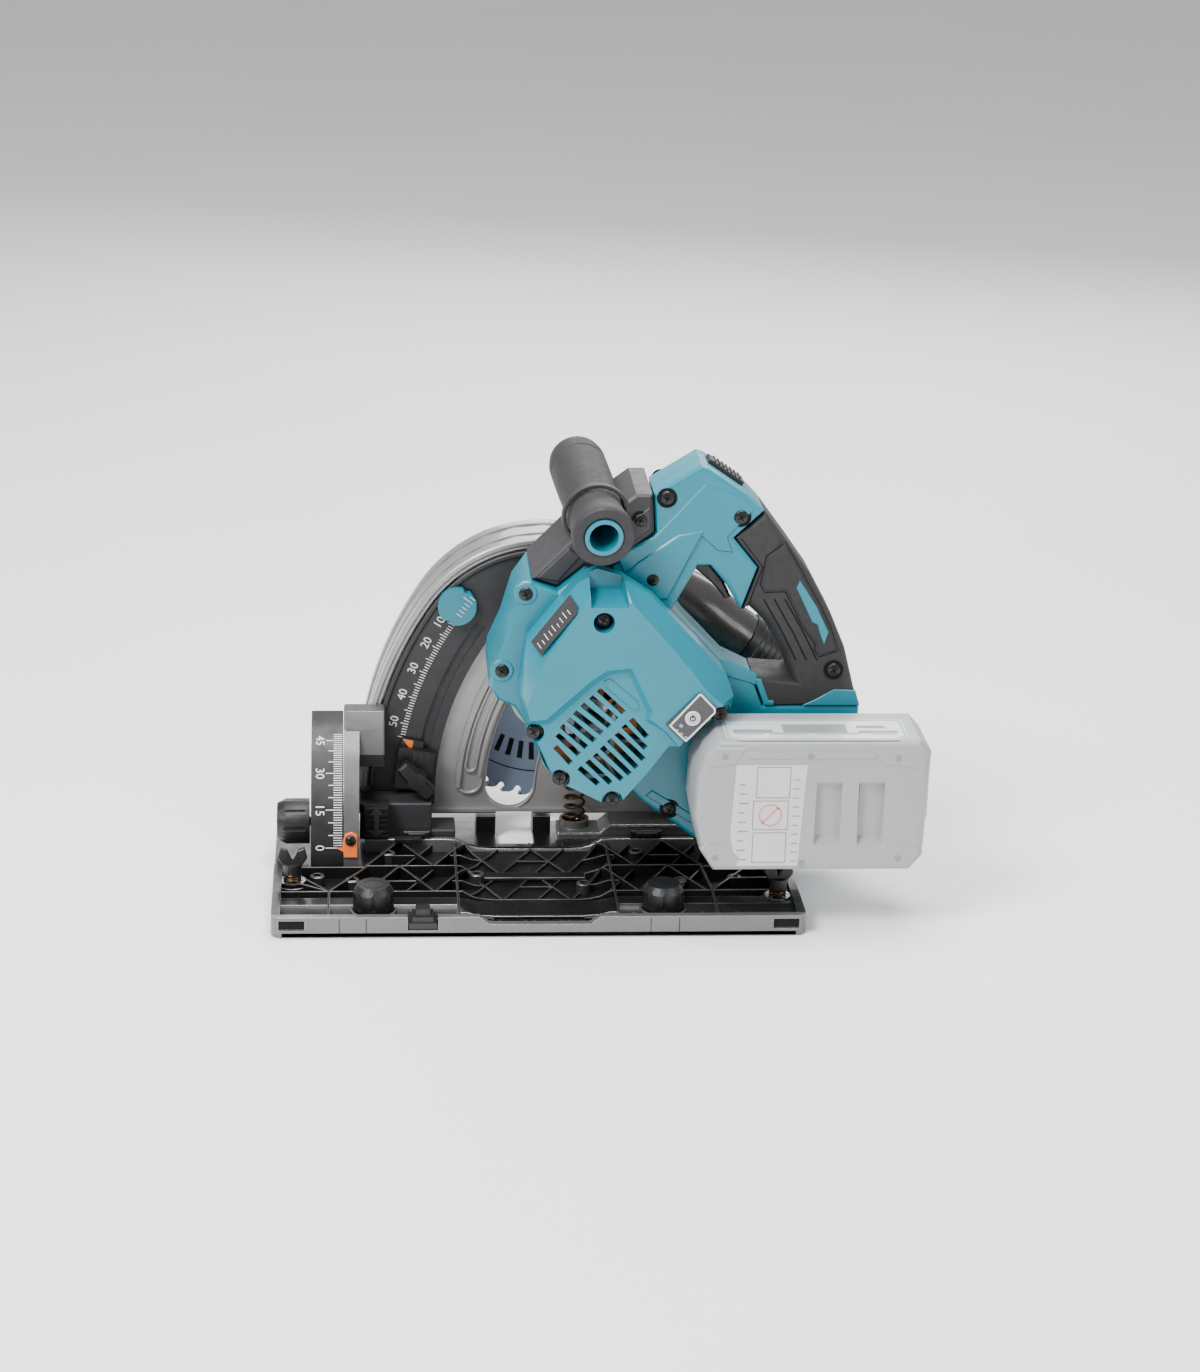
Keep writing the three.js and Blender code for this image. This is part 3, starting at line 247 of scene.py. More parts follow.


# Lighter edge of the black casting: edge wear, and a painted highlight along the rounded edges.
def bright_edge():
    paint = Paint("bright_edge", metallic=0.85)
    return paint.colour(srgb(150, 147, 143), 0.25, 60).gloss(0.36, 0.10, 300).relief(
        (1200, 0.08, None)).material


def silver_paint():
    paint = Paint("silver_paint", metallic=0.45, coat=0.12)
    return paint.colour(srgb(146, 145, 144), 0.06, 7).gloss(0.34, 0.06, 90).relief(
        (1500, 0.07, None), (70, 0.10, None)).material


def satin_grey():
    paint = Paint("satin_grey", metallic=0.5, coat=0.10)
    return paint.colour(srgb(98, 97, 96), 0.07, 9).gloss(0.36, 0.06, 120).relief(
        (1500, 0.07, None), (70, 0.10, None)).material


def dark_metal():
    paint = Paint("dark_metal", metallic=0.5, coat=0.35)
    return paint.colour(srgb(74, 72, 70), 0.08, 9).gloss(0.28, 0.06, 120).relief(
        (1500, 0.05, None), (90, 0.15, None)).material


def rim_metal():
    paint = Paint("rim_metal", metallic=0.5, coat=0.15)
    return paint.colour(srgb(150, 148, 146), 0.10, 30).gloss(0.36, 0.06, 200).relief(
        (1600, 0.05, (0.15, 1.0, 1.0)), (300, 0.05, None)).material


def brushed_steel():
    paint = Paint("brushed_steel", metallic=1.0)
    return paint.colour(srgb(176, 176, 178), 0.08, 40).gloss(0.28, 0.08, 300).relief(
        (1800, 0.05, (0.1, 1.0, 1.0)), (260, 0.04, None)).material


def blade_steel():
    paint = Paint("blade_steel", metallic=0.35)
    return paint.colour(srgb(120, 134, 156), 0.05, 20).gloss(0.42, 0.05, 120).relief(
        (1600, 0.03, (1.0, 1.0, 0.15)), (200, 0.02, None)).material


def black_screw():
    paint = Paint("black_screw", metallic=0.6, coat=0.1)
    return paint.colour(srgb(40, 39, 40), 0.20, 120).gloss(0.30, 0.08, 300).relief(
        (1800, 0.05, None)).material


def spring_steel():
    paint = Paint("spring_steel", metallic=0.9)
    return paint.colour(srgb(92, 72, 52), 0.20, 60).gloss(0.28, 0.08, 200).relief(
        (1400, 0.05, None)).material


def copper_wire():
    paint = Paint("copper_wire", metallic=0.95)
    return paint.colour(srgb(176, 104, 58), 0.15, 90).gloss(0.32, 0.08, 300).relief(
        (1400, 0.15, (1.0, 0.2, 1.0))).material


def orange_plastic():
    paint = Paint("orange_plastic", coat=0.1)
    return paint.colour(srgb(236, 108, 36), 0.06, 40).gloss(0.38, 0.05, 200).relief(
        (2000, 0.05, None)).material


def white_print():
    paint = Paint("white_print")
    return paint.colour(srgb(226, 226, 224), 0.05, 90).gloss(0.5, 0.05, 300).relief(
        (2200, 0.02, None)).material


def pale_plastic():
    paint = Paint("pale_plastic", coat=0.05)
    return paint.colour(srgb(150, 151, 153), 0.04, 8).gloss(0.42, 0.05, 160).relief(
        (2200, 0.06, None), (500, 0.03, None)).material


def label_film():
    paint = Paint("label_film", coat=0.25)
    return paint.colour(srgb(52, 50, 53), 0.06, 60).gloss(0.30, 0.05, 200).relief(
        (1500, 0.02, None)).material


def pale_label():
    paint = Paint("pale_label", coat=0.15)
    return paint.colour(srgb(196, 196, 197), 0.03, 40).gloss(0.36, 0.05, 200).relief(
        (1500, 0.02, None)).material


def blue_light():
    paint = Paint("blue_light", coat=0.4)
    return paint.colour(srgb(70, 170, 226), 0.10, 300).gloss(0.25, 0.05, 300).relief(
        (1500, 0.02, None)).material


def deep_black():
    paint = Paint("deep_black", specular=0.2)
    return paint.colour(srgb(12, 12, 13), 0.20, 40).gloss(0.7, 0.05, 200).relief(
        (1500, 0.05, None)).material


def battery_grey():
    paint = Paint("battery_grey")
    return paint.colour(srgb(128, 129, 131), 0.05, 30).gloss(0.5, 0.05, 200).relief(
        (2000, 0.03, None)).material


def faded_teal():
    paint = Paint("faded_teal")
    return paint.colour(srgb(120, 164, 172), 0.05, 60).gloss(0.45, 0.05, 200).relief(
        (2000, 0.02, None)).material


def faded_red():
    paint = Paint("faded_red")
    return paint.colour(srgb(206, 140, 140), 0.05, 60).gloss(0.45, 0.05, 200).relief(
        (2000, 0.02, None)).material


M = {make.__name__: make() for make in (
    teal_plastic, teal_edge, charcoal_edge, silver_edge, pale_edge, dark_teal, charcoal_plastic,
    black_plastic, soft_rubber, textured_rubber, black_casting, base_metal, bright_edge,
    silver_paint, satin_grey, dark_metal, rim_metal, brushed_steel, blade_steel, black_screw,
    spring_steel, copper_wire, orange_plastic, white_print, pale_plastic, label_film, pale_label,
    blue_light, deep_black, battery_grey, faded_teal, faded_red)}


# Lighter edges: the material that a bevelled edge takes on each base material; a painted highlight along
# rounded edges, and on the black casting also edge wear.
EDGE_OF = {"teal_plastic": "teal_edge", "charcoal_plastic": "charcoal_edge",
           "black_plastic": "charcoal_edge", "silver_paint": "silver_edge",
           "black_casting": "bright_edge", "satin_grey": "silver_edge", "base_metal": "bright_edge",
           "pale_plastic": "pale_edge", "brushed_steel": "silver_edge"}


# ---------------------------------------------------------------- CAD nodes that stay
def dress(node, material, bevel=0.5, segments=2, edge=None, angle=28.0):
    """Gives a CAD node its material and softened edges, with modifiers only."""
    obj = NODES[node]
    obj.data.materials.clear()
    obj.data.materials.append(material)
    weld = obj.modifiers.new("weld", "WELD")
    weld.merge_threshold = 0.00001
    flat = obj.modifiers.new("flat", "DECIMATE")
    flat.decimate_type = "DISSOLVE"
    flat.angle_limit = math.radians(1.0)
    soften(obj, bevel, segments, edge, angle)
    return obj


def soften(obj, bevel, segments=2, edge=None, angle=28.0):
    if bevel:
        round_off = obj.modifiers.new("round", "BEVEL")
        round_off.width = bevel * MM
        round_off.segments = segments
        round_off.limit_method = "ANGLE"
        round_off.angle_limit = math.radians(angle)
        round_off.use_clamp_overlap = True
        round_off.miter_outer = "MITER_ARC" if segments > 1 else "MITER_SHARP"
        # the bevel faces take a lighter copy of the paint: painted highlight along the edge, on the black
        # casting also edge wear
        edge_wear_and_highlight = edge or M.get(EDGE_OF.get(obj.data.materials[0].name))
        if edge_wear_and_highlight:
            obj.data.materials.append(edge_wear_and_highlight)
            round_off.material = len(obj.data.materials) - 1
    for polygon in obj.data.polygons:
        polygon.use_smooth = True
    sharp = obj.modifiers.new("smooth", "NODES")
    sharp.node_group = smooth_by_angle()
    tidy = obj.modifiers.new("normals", "WEIGHTED_NORMAL")
    tidy.keep_sharp = True


def smooth_by_angle():
    """A geometry node group that shades smooth and marks edges sharper than 35 degrees."""
    group = bpy.data.node_groups.get("smooth_by_angle")
    if group:
        return group
    group = bpy.data.node_groups.new("smooth_by_angle", "GeometryNodeTree")
    group.interface.new_socket("Geometry", in_out="INPUT", socket_type="NodeSocketGeometry")
    group.interface.new_socket("Geometry", in_out="OUTPUT", socket_type="NodeSocketGeometry")
    start = group.nodes.new("NodeGroupInput")
    end = group.nodes.new("NodeGroupOutput")
    angle = group.nodes.new("GeometryNodeInputMeshEdgeAngle")
    limit = group.nodes.new("FunctionNodeCompare")
    limit.operation = "LESS_EQUAL"
    limit.inputs[1].default_value = math.radians(35.0)
    faces = group.nodes.new("GeometryNodeSetShadeSmooth")
    edges = group.nodes.new("GeometryNodeSetShadeSmooth")
    edges.domain = "EDGE"
    group.links.new(start.outputs[0], faces.inputs["Geometry"])
    group.links.new(faces.outputs[0], edges.inputs["Geometry"])
    group.links.new(angle.outputs["Unsigned Angle"], limit.inputs[0])
    group.links.new(limit.outputs["Result"], edges.inputs["Shade Smooth"])
    group.links.new(edges.outputs[0], end.inputs[0])
    return group


# ---------------------------------------------------------------- shapes
def along_y(u, v, w):
    return (u, w, v)


def along_z(u, v, w):
    return (u, v, w)


def polar(cx, cz, radius, degrees):
    turn = math.radians(degrees)
    return (cx + radius * math.cos(turn), cz + radius * math.sin(turn))


def arc(cx, cz, radius, start, end, steps):
    return [polar(cx, cz, radius, start + (end - start) * i / steps) for i in range(steps + 1)]


def circle(cx, cz, radius, sides):
    return [polar(cx, cz, radius, 360 * i / sides) for i in range(sides)]


def rectangle(u0, v0, u1, v1):
    return [(u0, v0), (u1, v0), (u1, v1), (u0, v1)]


def area(points):
    total = 0.0
    for i, (x, y) in enumerate(points):
        px, py = points[i - 1]
        total += px * y - x * py
    return total / 2


def inset(points, distance):
    """Moves each corner of an outline inwards; distance is one number or one per corner."""
    each = distance if isinstance(distance, list) else [distance] * len(points)
    side = 1 if area(points) > 0 else -1
    moved = []
    for i, (x, y) in enumerate(points):
        before = (Vector((x, y)) - Vector(points[i - 1])).normalized()
        after = (Vector(points[(i + 1) % len(points)]) - Vector((x, y))).normalized()
        normal = Vector((-before.y - after.y, before.x + after.x)).normalized()
        stretch = max(0.5, normal.dot(Vector((-before.y, before.x))))
        step = side * each[i] / stretch
        moved.append((x + normal.x * step, y + normal.y * step))
    return moved


class Build:
    """Collects closed pieces, in millimetres, that become one mesh object."""

    def __init__(self):
        self.verts = []
        self.faces = []

    def take(self, verts, faces):
        start = len(self.verts)
        self.verts.extend(verts)
        self.faces.extend(tuple(start + i for i in face) for face in faces)
        return self

    def loft(self, rings, closed=False):
        """Joins rings of equal length; flat ends close it unless it's a closed loop of rings."""
        count = len(rings[0])
        faces = []
        if not closed:
            faces.append(tuple(range(count))[::-1])
            faces.append(tuple(range((len(rings) - 1) * count, len(rings) * count)))
        for r in range(len(rings) if closed else len(rings) - 1):
            low = r * count
            high = (r + 1) % len(rings) * count
            for i in range(count):
                j = (i + 1) % count
                faces.append((low + i, low + j, high + j, high + i))
        return self.take([point for ring in rings for point in ring], faces)

    def prism(self, outline, low, high, place=along_y):
        return self.loft([[place(u, v, w) for u, v in outline] for w in (low, high)])

    def plate(self, outline, low, high, edge, place=along_y):
        """A prism whose outer face, at high, is smaller by a chamfer."""
        step = edge if high > low else -edge
        return self.loft([[place(u, v, low) for u, v in outline],
                          [place(u, v, high - step) for u, v in outline],
                          [place(u, v, high) for u, v in inset(outline, edge)]])

    def box(self, x0, x1, y0, y1, z0, z1):
        return self.prism(rectangle(x0, y0, x1, y1), z0, z1, along_z)

    def rounded(self, outline, low, high, radius, weights=None, steps=4, place=along_y):
        """A prism with rounded ends; weights says how much of the radius each corner gets."""
        share = weights or [1.0] * len(outline)
        rings = []
        turns = [90 * i / steps for i in range(steps + 1)]
        for turn in turns:
            inward = radius * (1 - math.sin(math.radians(turn)))
            depth = radius * (1 - math.cos(math.radians(turn)))
            rings.append((inward, low + depth))
        for turn in reversed(turns):
            inward = radius * (1 - math.sin(math.radians(turn)))
            depth = radius * (1 - math.cos(math.radians(turn)))
            rings.append((inward, high - depth))
        return self.loft([[place(u, v, w) for u, v in inset(outline, [s * inward for s in share])]
                          for inward, w in rings])

    def turned(self, profile, origin, axis, sides=24):
        """A turned piece from (radius, distance along the axis) points, first and last at radius 0
        or a closed loop."""
        direction = Vector(axis).normalized()
        across = direction.orthogonal().normalized()
        other = direction.cross(across)
        solid = profile[0][0] == 0 and profile[-1][0] == 0
        rings = []
        for radius, height in profile:
            size = max(radius, 0.01)
            rings.append([tuple(Vector(origin) + direction * height
                                + (across * math.cos(math.tau * i / sides)
                                   + other * math.sin(math.tau * i / sides)) * size)
                          for i in range(sides)])
        return self.loft(rings, closed=not solid)

    def ring(self, inner, outer, low, high, origin, axis, sides=24):
        return self.turned([(inner, low), (outer, low), (outer, high), (inner, high)],
                           origin, axis, sides)

    def tube(self, path, radius, sides=8, closed=False):
        points = [Vector(point) for point in path]
        normal = None
        rings = []
        for i, point in enumerate(points):
            before = points[i - 1] if i or closed else point
            after = points[(i + 1) % len(points)] if closed or i + 1 < len(points) else point
            along = (after - before).normalized()
            if normal is None:
                normal = along.orthogonal().normalized()
            normal = (normal - along * normal.dot(along)).normalized()
            other = along.cross(normal)
            rings.append([tuple(point + (normal * math.cos(math.tau * k / sides)
                                         + other * math.sin(math.tau * k / sides)) * radius)
                          for k in range(sides)])
        return self.loft(rings, closed)

    def screw(self, origin, axis, radius=4.2):
        """A pan-head screw: dome; its cross recess, painted as a dark cross of shade, goes into the marks
        build.
        """
        self.turned([(0, -1.0), (radius, -1.0), (radius, 0.5), (radius * 0.86, 1.3),
                     (radius * 0.5, 1.8), (0, 1.9)], origin, axis, 20)
        return self

    def word(self, text, size, thickness, place):
        """A printed word: the letters' outlines, centred, put in place point by point."""
        curve = bpy.data.curves.new("word", "FONT")
        curve.body = text
        curve.size = size
        curve.extrude = thickness / 2
        curve.align_x = "CENTER"
        curve.align_y = "CENTER"
        curve.resolution_u = 3
        obj = bpy.data.objects.new("word", curve)
        bpy.context.scene.collection.objects.link(obj)
        mesh = bpy.data.meshes.new_from_object(obj.evaluated_get(bpy.context.evaluated_depsgraph_get()))
        self.take([place(*v.co) for v in mesh.vertices], [tuple(p.vertices) for p in mesh.polygons])
        bpy.data.objects.remove(obj)
        bpy.data.meshes.remove(mesh)
        return self

    def mesh(self, name):
        mesh = bpy.data.meshes.new(name)
        mesh.from_pydata([Vector(v) * MM for v in self.verts], [], self.faces)
        shape = bmesh.new()
        shape.from_mesh(mesh)
        bmesh.ops.recalc_face_normals(shape, faces=shape.faces)
        shape.to_mesh(mesh)
        shape.free()
        return mesh

    def object(self, name, body, material, bevel=0.0, segments=2, edge=None, replaces=(), cuts=None):
        obj = bpy.data.objects.new(name, self.mesh(name))
        bpy.context.scene.collection.objects.link(obj)
        if cuts:
            carve(obj, cuts)
        obj.data.materials.clear()
        obj.data.materials.append(material)
        soften(obj, bevel, segments, edge)
        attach(obj, body)
        if replaces:
            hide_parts(*replaces)
        return obj


def carve(obj, cuts):
    """Takes each build in cuts away from obj and keeps flat faces whole."""
    for build in cuts:
        knife = bpy.data.objects.new("knife", build.mesh("knife"))
        bpy.context.scene.collection.objects.link(knife)
        step = obj.modifiers.new("cut", "BOOLEAN")
        step.solver = "EXACT"
        step.object = knife
        step.operation = "DIFFERENCE"
        result = bpy.data.meshes.new_from_object(
            obj.evaluated_get(bpy.context.evaluated_depsgraph_get()))
        obj.modifiers.clear()
        obj.data = result
        bpy.data.objects.remove(knife)
    shape = bmesh.new()
    shape.from_mesh(obj.data)
    bmesh.ops.remove_doubles(shape, verts=shape.verts, dist=0.00002)
    bmesh.ops.dissolve_limit(shape, angle_limit=math.radians(1.0), verts=shape.verts,
                             edges=shape.edges)
    shape.to_mesh(obj.data)
    shape.free()


def height_on(plane, x, z):
    """Y at (x, z) on the plane through three (x, y, z) points."""
    a, b, c = (Vector(p) for p in plane)
    n = (b - a).cross(c - a)
    return a.y - (n.x * (x - a.x) + n.z * (z - a.z)) / n.y


def on_plane(plane, lift):
    """A place function for shapes drawn in X and Z that lie on a sloping plane."""
    def place(u, v, w):
        return (u, height_on(plane, u, v) - lift - w, v)
    return place


def cross_marks(build, origin, axis, turn, size=2.2):
    """A dark cross on a screw head: painted shade standing in for the shaded cross recess."""
    direction = Vector(axis).normalized()
    across = direction.orthogonal().normalized()
    across = (Matrix.Rotation(math.radians(turn), 3, direction) @ across)
    other = direction.cross(across)
    for first, second in ((across, other), (other, across)):
        ring = []
        for a, b in ((-size, -0.45), (size, -0.45), (size, 0.45), (-size, 0.45)):
            ring.append(Vector(origin) + first * a + second * b)
        build.loft([[tuple(p + direction * h) for p in ring] for h in (1.2, 1.95)])


def screws(name, body, places, radius=4.2, ring=0.0):
    """Black cross-head screws, heads in one object; each place is (origin, axis, turn). Dark crosses, and
    with ring a dark band round each head, are painted shade.
    """
    heads = Build()
    marks = Build()
    for origin, axis, turn in places:
        heads.screw(origin, axis, radius)
        cross_marks(marks, origin, axis, turn, radius * 0.55)
        if ring:
            marks.ring(radius + 0.15, ring, -0.4, 0.12, origin, axis, 24)
    heads.object(name + "_heads", body, M["black_screw"], 0.15)
    marks.object(name + "_recess_shade", body, M["deep_black"])
# ---------------------------------------------------------------- stage
def camera():
    position = Vector((-100.24, -1658.43, 696.77)) * MM
    yaw = math.radians(4.7587)
    pitch = math.radians(19.3214)
    roll = math.radians(1.6125)
    forward = Vector((math.sin(yaw) * math.cos(pitch), math.cos(yaw) * math.cos(pitch),
                      -math.sin(pitch)))
    level = Vector((math.cos(yaw), -math.sin(yaw), 0))
    rise = level.cross(forward)
    right = level * math.cos(roll) + rise * math.sin(roll)
    up = rise * math.cos(roll) - level * math.sin(roll)
    data = bpy.data.cameras.new("camera")
    data.sensor_fit = "AUTO"
    data.sensor_width = 36.0
    data.lens = 80.0
    data.clip_start = 0.05
    obj = bpy.data.objects.new("camera", data)
    obj.matrix_world = Matrix.Translation(position) @ Matrix(
        (right, up, -forward)).transposed().to_4x4()
    bpy.context.scene.collection.objects.link(obj)
    bpy.context.scene.camera = obj


def area_light(name, position, target, size, power, colour=(1, 1, 1)):
    data = bpy.data.lights.new(name, "AREA")
    data.shape = "RECTANGLE"
    data.size = size[0]
    data.size_y = size[1]
    data.energy = power
    data.color = colour
    obj = bpy.data.objects.new(name, data)
    obj.location = position
    obj.rotation_euler = (Vector(target) - Vector(position)).to_track_quat("-Z", "Y").to_euler()
    bpy.context.scene.collection.objects.link(obj)


def studio():
    world = bpy.data.worlds.new("studio")
    bpy.context.scene.world = world
    world.use_nodes = True
    sky = world.node_tree.nodes["Background"]
    sky.inputs["Color"].default_value = (1.0, 1.0, 1.0, 1.0)
    sky.inputs["Strength"].default_value = 0.55
    area_light("key", (-0.9, -0.9, 1.5), (0.03, 0.0, 0.1), (0.7, 0.7), 52)
    area_light("fill", (1.3, -1.0, 0.7), (0.03, 0.0, 0.1), (0.8, 0.6), 7)
    area_light("top", (0.1, 0.1, 1.6), (0.03, 0.0, 0.1), (1.0, 0.7), 30)
    area_light("back", (0.4, 1.5, 0.9), (0.03, 0.0, 0.1), (1.4, 0.6), 16)


def floor():
    reach = 14.0
    sides = 48
    verts = [(reach * math.cos(math.tau * i / sides), reach * math.sin(math.tau * i / sides), -0.0004)
             for i in range(sides)]
    mesh = bpy.data.meshes.new("floor")
    mesh.from_pydata(verts, [], [tuple(range(sides))])
    for polygon in mesh.polygons:
        polygon.use_smooth = True
    paint = Paint("floor_paint", specular=0.2)
    mesh.materials.append(paint.colour(srgb(250, 250, 250), 0.01, 3).gloss(0.7, 0.02, 3).relief(
        (400, 0.02, None)).material)
    obj = bpy.data.objects.new("floor", mesh)
    bpy.context.scene.collection.objects.link(obj)


camera()
studio()
floor()

PLAIN = {
    "base_plate": ("base_metal", 0.0), "front_bevel_quadrant": ("black_plastic", 0.4),
    "rear_bevel_quadrant": ("black_plastic", 0.4), "front_guide_pad": ("black_plastic", 0.4),
    "front_rail_knob": ("black_plastic", 0.4), "rear_rail_knob": ("black_plastic", 0.4),
    "front_corner_screw": ("black_plastic", 0.3), "rear_corner_screw": ("black_plastic", 0.3),
    "anti_tip_slider": ("black_plastic", 0.4), "front_bevel_plate": ("satin_grey", 0.4),
    "rear_bevel_plate": ("satin_grey", 0.4), "front_frame_block": ("charcoal_plastic", 0.5),
    "rear_frame_beam": ("satin_grey", 0.5), "blade_case": ("silver_paint", 0.6),
    "blade_case_cover": ("silver_paint", 0.6), "dust_nozzle": ("dark_metal", 0.4),
    "dust_connector": ("black_plastic", 0.4), "depth_scale": ("charcoal_plastic", 0.3),
    "depth_stop": ("black_plastic", 0.4), "depth_clamp_knob": ("black_plastic", 0.5),
    "scoring_stop_disc": ("teal_plastic", 0.3), "bevel_release_slider": ("black_plastic", 0.4),
    "front_lock_knob": ("black_plastic", 0.4), "rear_lock_knob": ("black_plastic", 0.4),
    "return_spring": ("spring_steel", 0.2), "plunge_pin": ("brushed_steel", 0.3),
    "motor_cover": ("teal_plastic", 0.6), "motor_housing": ("teal_plastic", 0.6),
    "handle_bracket": ("charcoal_plastic", 0.6), "front_handle_grip": ("soft_rubber", 0.5),
    "front_handle_core": ("teal_plastic", 0.2), "body_shell_near": ("teal_plastic", 0.5),
    "body_shell_far": ("teal_plastic", 0.5), "rear_grip": ("soft_rubber", 0.5),
    "trigger": ("black_plastic", 0.5), "lock_off_button": ("black_plastic", 0.4),
    "switch_unit": ("black_plastic", 0.3), "terminal_block": ("black_plastic", 0.3),
    "controller": ("black_plastic", 0.3), "speed_dial": ("black_plastic", 0.3),
    "control_panel": ("label_film", 0.2), "power_button": ("pale_label", 0.2),
    "gearbox_plate": ("silver_paint", 0.3), "gear_housing": ("silver_paint", 0.4),
    "stator": ("copper_wire", 0.2), "rotor": ("brushed_steel", 0.2), "fan": ("black_plastic", 0.2),
    "pinion": ("brushed_steel", 0.1), "motor_rear_bearing": ("brushed_steel", 0.2),
    "motor_front_bearing": ("brushed_steel", 0.2), "spindle_rear_bearing": ("brushed_steel", 0.2),
    "spindle_front_bearing": ("brushed_steel", 0.2), "spindle": ("brushed_steel", 0.2),
    "drive_gear": ("brushed_steel", 0.1), "inner_flange": ("brushed_steel", 0.3),
    "saw_blade": ("blade_steel", 0.1), "outer_flange": ("brushed_steel", 0.3),
    "blade_bolt": ("black_screw", 0.3), "battery_pack": ("pale_plastic", 0.6),
    "battery_button": ("pale_plastic", 0.3),
}
for node, (paint_name, width) in PLAIN.items():
    dress(node, M[paint_name], width)


# ---------------------------------------------------------------- motor cover
NEAR = (0, -1, 0)
COVER_OUTLINE = [
    (-12, 133), (-9.8, 114.3), (-4.5, 103), (2.5, 86.5), (11, 77.5), (39.5, 64), (47.3, 67),
    (62.5, 85.7), (72.7, 100.6), (79.4, 100.6), (87.3, 113.1), (106.5, 121.5), (108, 129),
    (103.5, 141.5), (87, 159.5), (61, 186), (44, 197), (30, 201), (20, 196), (-8, 161)]
COVER_CREASE = [
    (-8.4, 128), (-6.4, 116.5), (-0.8, 105), (6, 90), (13.5, 81.5), (39.2, 68.6), (44.8, 70.6),
    (59.4, 88.2), (70.6, 104), (77, 104), (85, 115.6), (101, 123.5), (100, 129), (90, 138),
    (82, 149), (70, 163), (48, 188), (36, 189.4), (24.6, 189), (1, 155)]
STEP_FOOT = [
    (-14, 114.9), (4.4, 116.4), (28.2, 138.5), (36.4, 145.1), (47.4, 146.6), (58.5, 123.1),
    (57.2, 118.6), (63.6, 114.9), (68.2, 111.9), (76.2, 103), (83, 100), (83, 55), (-14, 55)]
STEP_TOP = [
    (-16, 118.5), (2, 120.2), (26, 142.3), (35, 148.9), (48.9, 150.4), (61.5, 124.5),
    (60, 120.2), (65, 116.4), (69.4, 112.9), (77, 103.8), (85, 101), (85, 53), (-16, 53)]
RECESS_Y = -72.4
SLOTS = [
    ((31, 136.7), (45.5, 123.1)), ((26.9, 132.3), (41.6, 119)), ((22.2, 127.9), (37.8, 114.8)),
    ((18.1, 123.4), (33.7, 110.8)), ((14.7, 119.3), (29.7, 106.4)), ((10.9, 115.3), (25.3, 102.4)),
    ((8.7, 110.1), (21.2, 98.2)), ((7.7, 103), (16.7, 93)), ((49.5, 119.3), (58.9, 108.6)),
    ((45.4, 115.3), (58.4, 101.9)), ((41.7, 110.8), (57.5, 95.2)), ((37.6, 107.1), (53.8, 90.4)),
    ((33.7, 102.7), (50, 86.5)), ((29.9, 98.2), (45.7, 83.2)), ((25.8, 94.5), (39.4, 81)),
    ((21.4, 90.4), (32.4, 80.5))]
SLOT_WIDTH = 3.1
COVER_SCREWS = [(32.9, 176.5), (99.6, 121.8), (40.5, 70.6), (10.7, 83.4), (-4.4, 111)]
FLANGE_SCREWS = [(-21.3, 138.6), (-8.8, 183.8)]


def slot_outline(start, end):
    along = (Vector(end) - Vector(start)).normalized()
    side = Vector((-along.y, along.x)) * SLOT_WIDTH / 2
    a, b = Vector(start), Vector(end)
    return [tuple(a - side), tuple(b - side), tuple(b + side), tuple(a + side)]


def motor_cover():
    shell = Build().loft([
        [(x, COVER_SEAM - 0.3, z) for x, z in COVER_OUTLINE],
        [(x, -61.0, z) for x, z in COVER_OUTLINE],
        [(x, COVER_FACE + 0.1, z) for x, z in COVER_CREASE]])
    step = Build().loft([
        [(x, RECESS_Y, z) for x, z in STEP_FOOT],
        [(x, COVER_FACE, z) for x, z in STEP_TOP],
        [(x, COVER_FACE - 4, z) for x, z in STEP_TOP]])
    chamber = Build().prism(circle(MOTOR_X, MOTOR_Z, 31, 40), RECESS_Y + 2.6, -40)
    slots = Build()
    for start, end in SLOTS:
        slots.prism(slot_outline(start, end), -90, RECESS_Y + 4)
    wells = Build()
    for x, z in COVER_SCREWS:
        wells.turned([(0, -12), (5.9, -12), (5.9, 8), (0, 8)], (x, -71, z), NEAR, 24)
    scoop = Build().loft([
        [(25.5, -54, 190), (43.5, -54, 190), (45, -54, 230), (24, -54, 230)],
        [(25.5, -80, 184.2), (46.5, -80, 184.2), (50, -80, 230), (23.6, -80, 230)]])
    button = Build().turned([(0, -3), (3.9, -3), (3.9, 6), (0, 6)], (83.5, -76, 121.5), NEAR, 24)
    shell.object("motor_cover_shell", "head", M["teal_plastic"], 0.7, 3, replaces=["motor_cover"],
                 cuts=[step, chamber, slots, wells, scoop, button])
    boss = Build().ring(8.3, 11, -(COVER_SEAM - 5), 71, (MOTOR_X, 0, MOTOR_Z), NEAR, 32)
    for turn in range(0, 360, 60):
        x, z = polar(MOTOR_X, MOTOR_Z, 18, turn)
        nx, nz = polar(0, 0, 1.0, turn + 90)
        boss.prism([(MOTOR_X + (x - MOTOR_X) * 0.55 + nx, MOTOR_Z + (z - MOTOR_Z) * 0.55 + nz),
                    (MOTOR_X + (x - MOTOR_X) * 1.75 + nx, MOTOR_Z + (z - MOTOR_Z) * 1.75 + nz),
                    (MOTOR_X + (x - MOTOR_X) * 1.75 - nx, MOTOR_Z + (z - MOTOR_Z) * 1.75 - nz),
                    (MOTOR_X + (x - MOTOR_X) * 0.55 - nx, MOTOR_Z + (z - MOTOR_Z) * 0.55 - nz)],
                   -69, -60)
    boss.object("motor_cover_bearing_cross", "head", M["black_plastic"], 0.2)


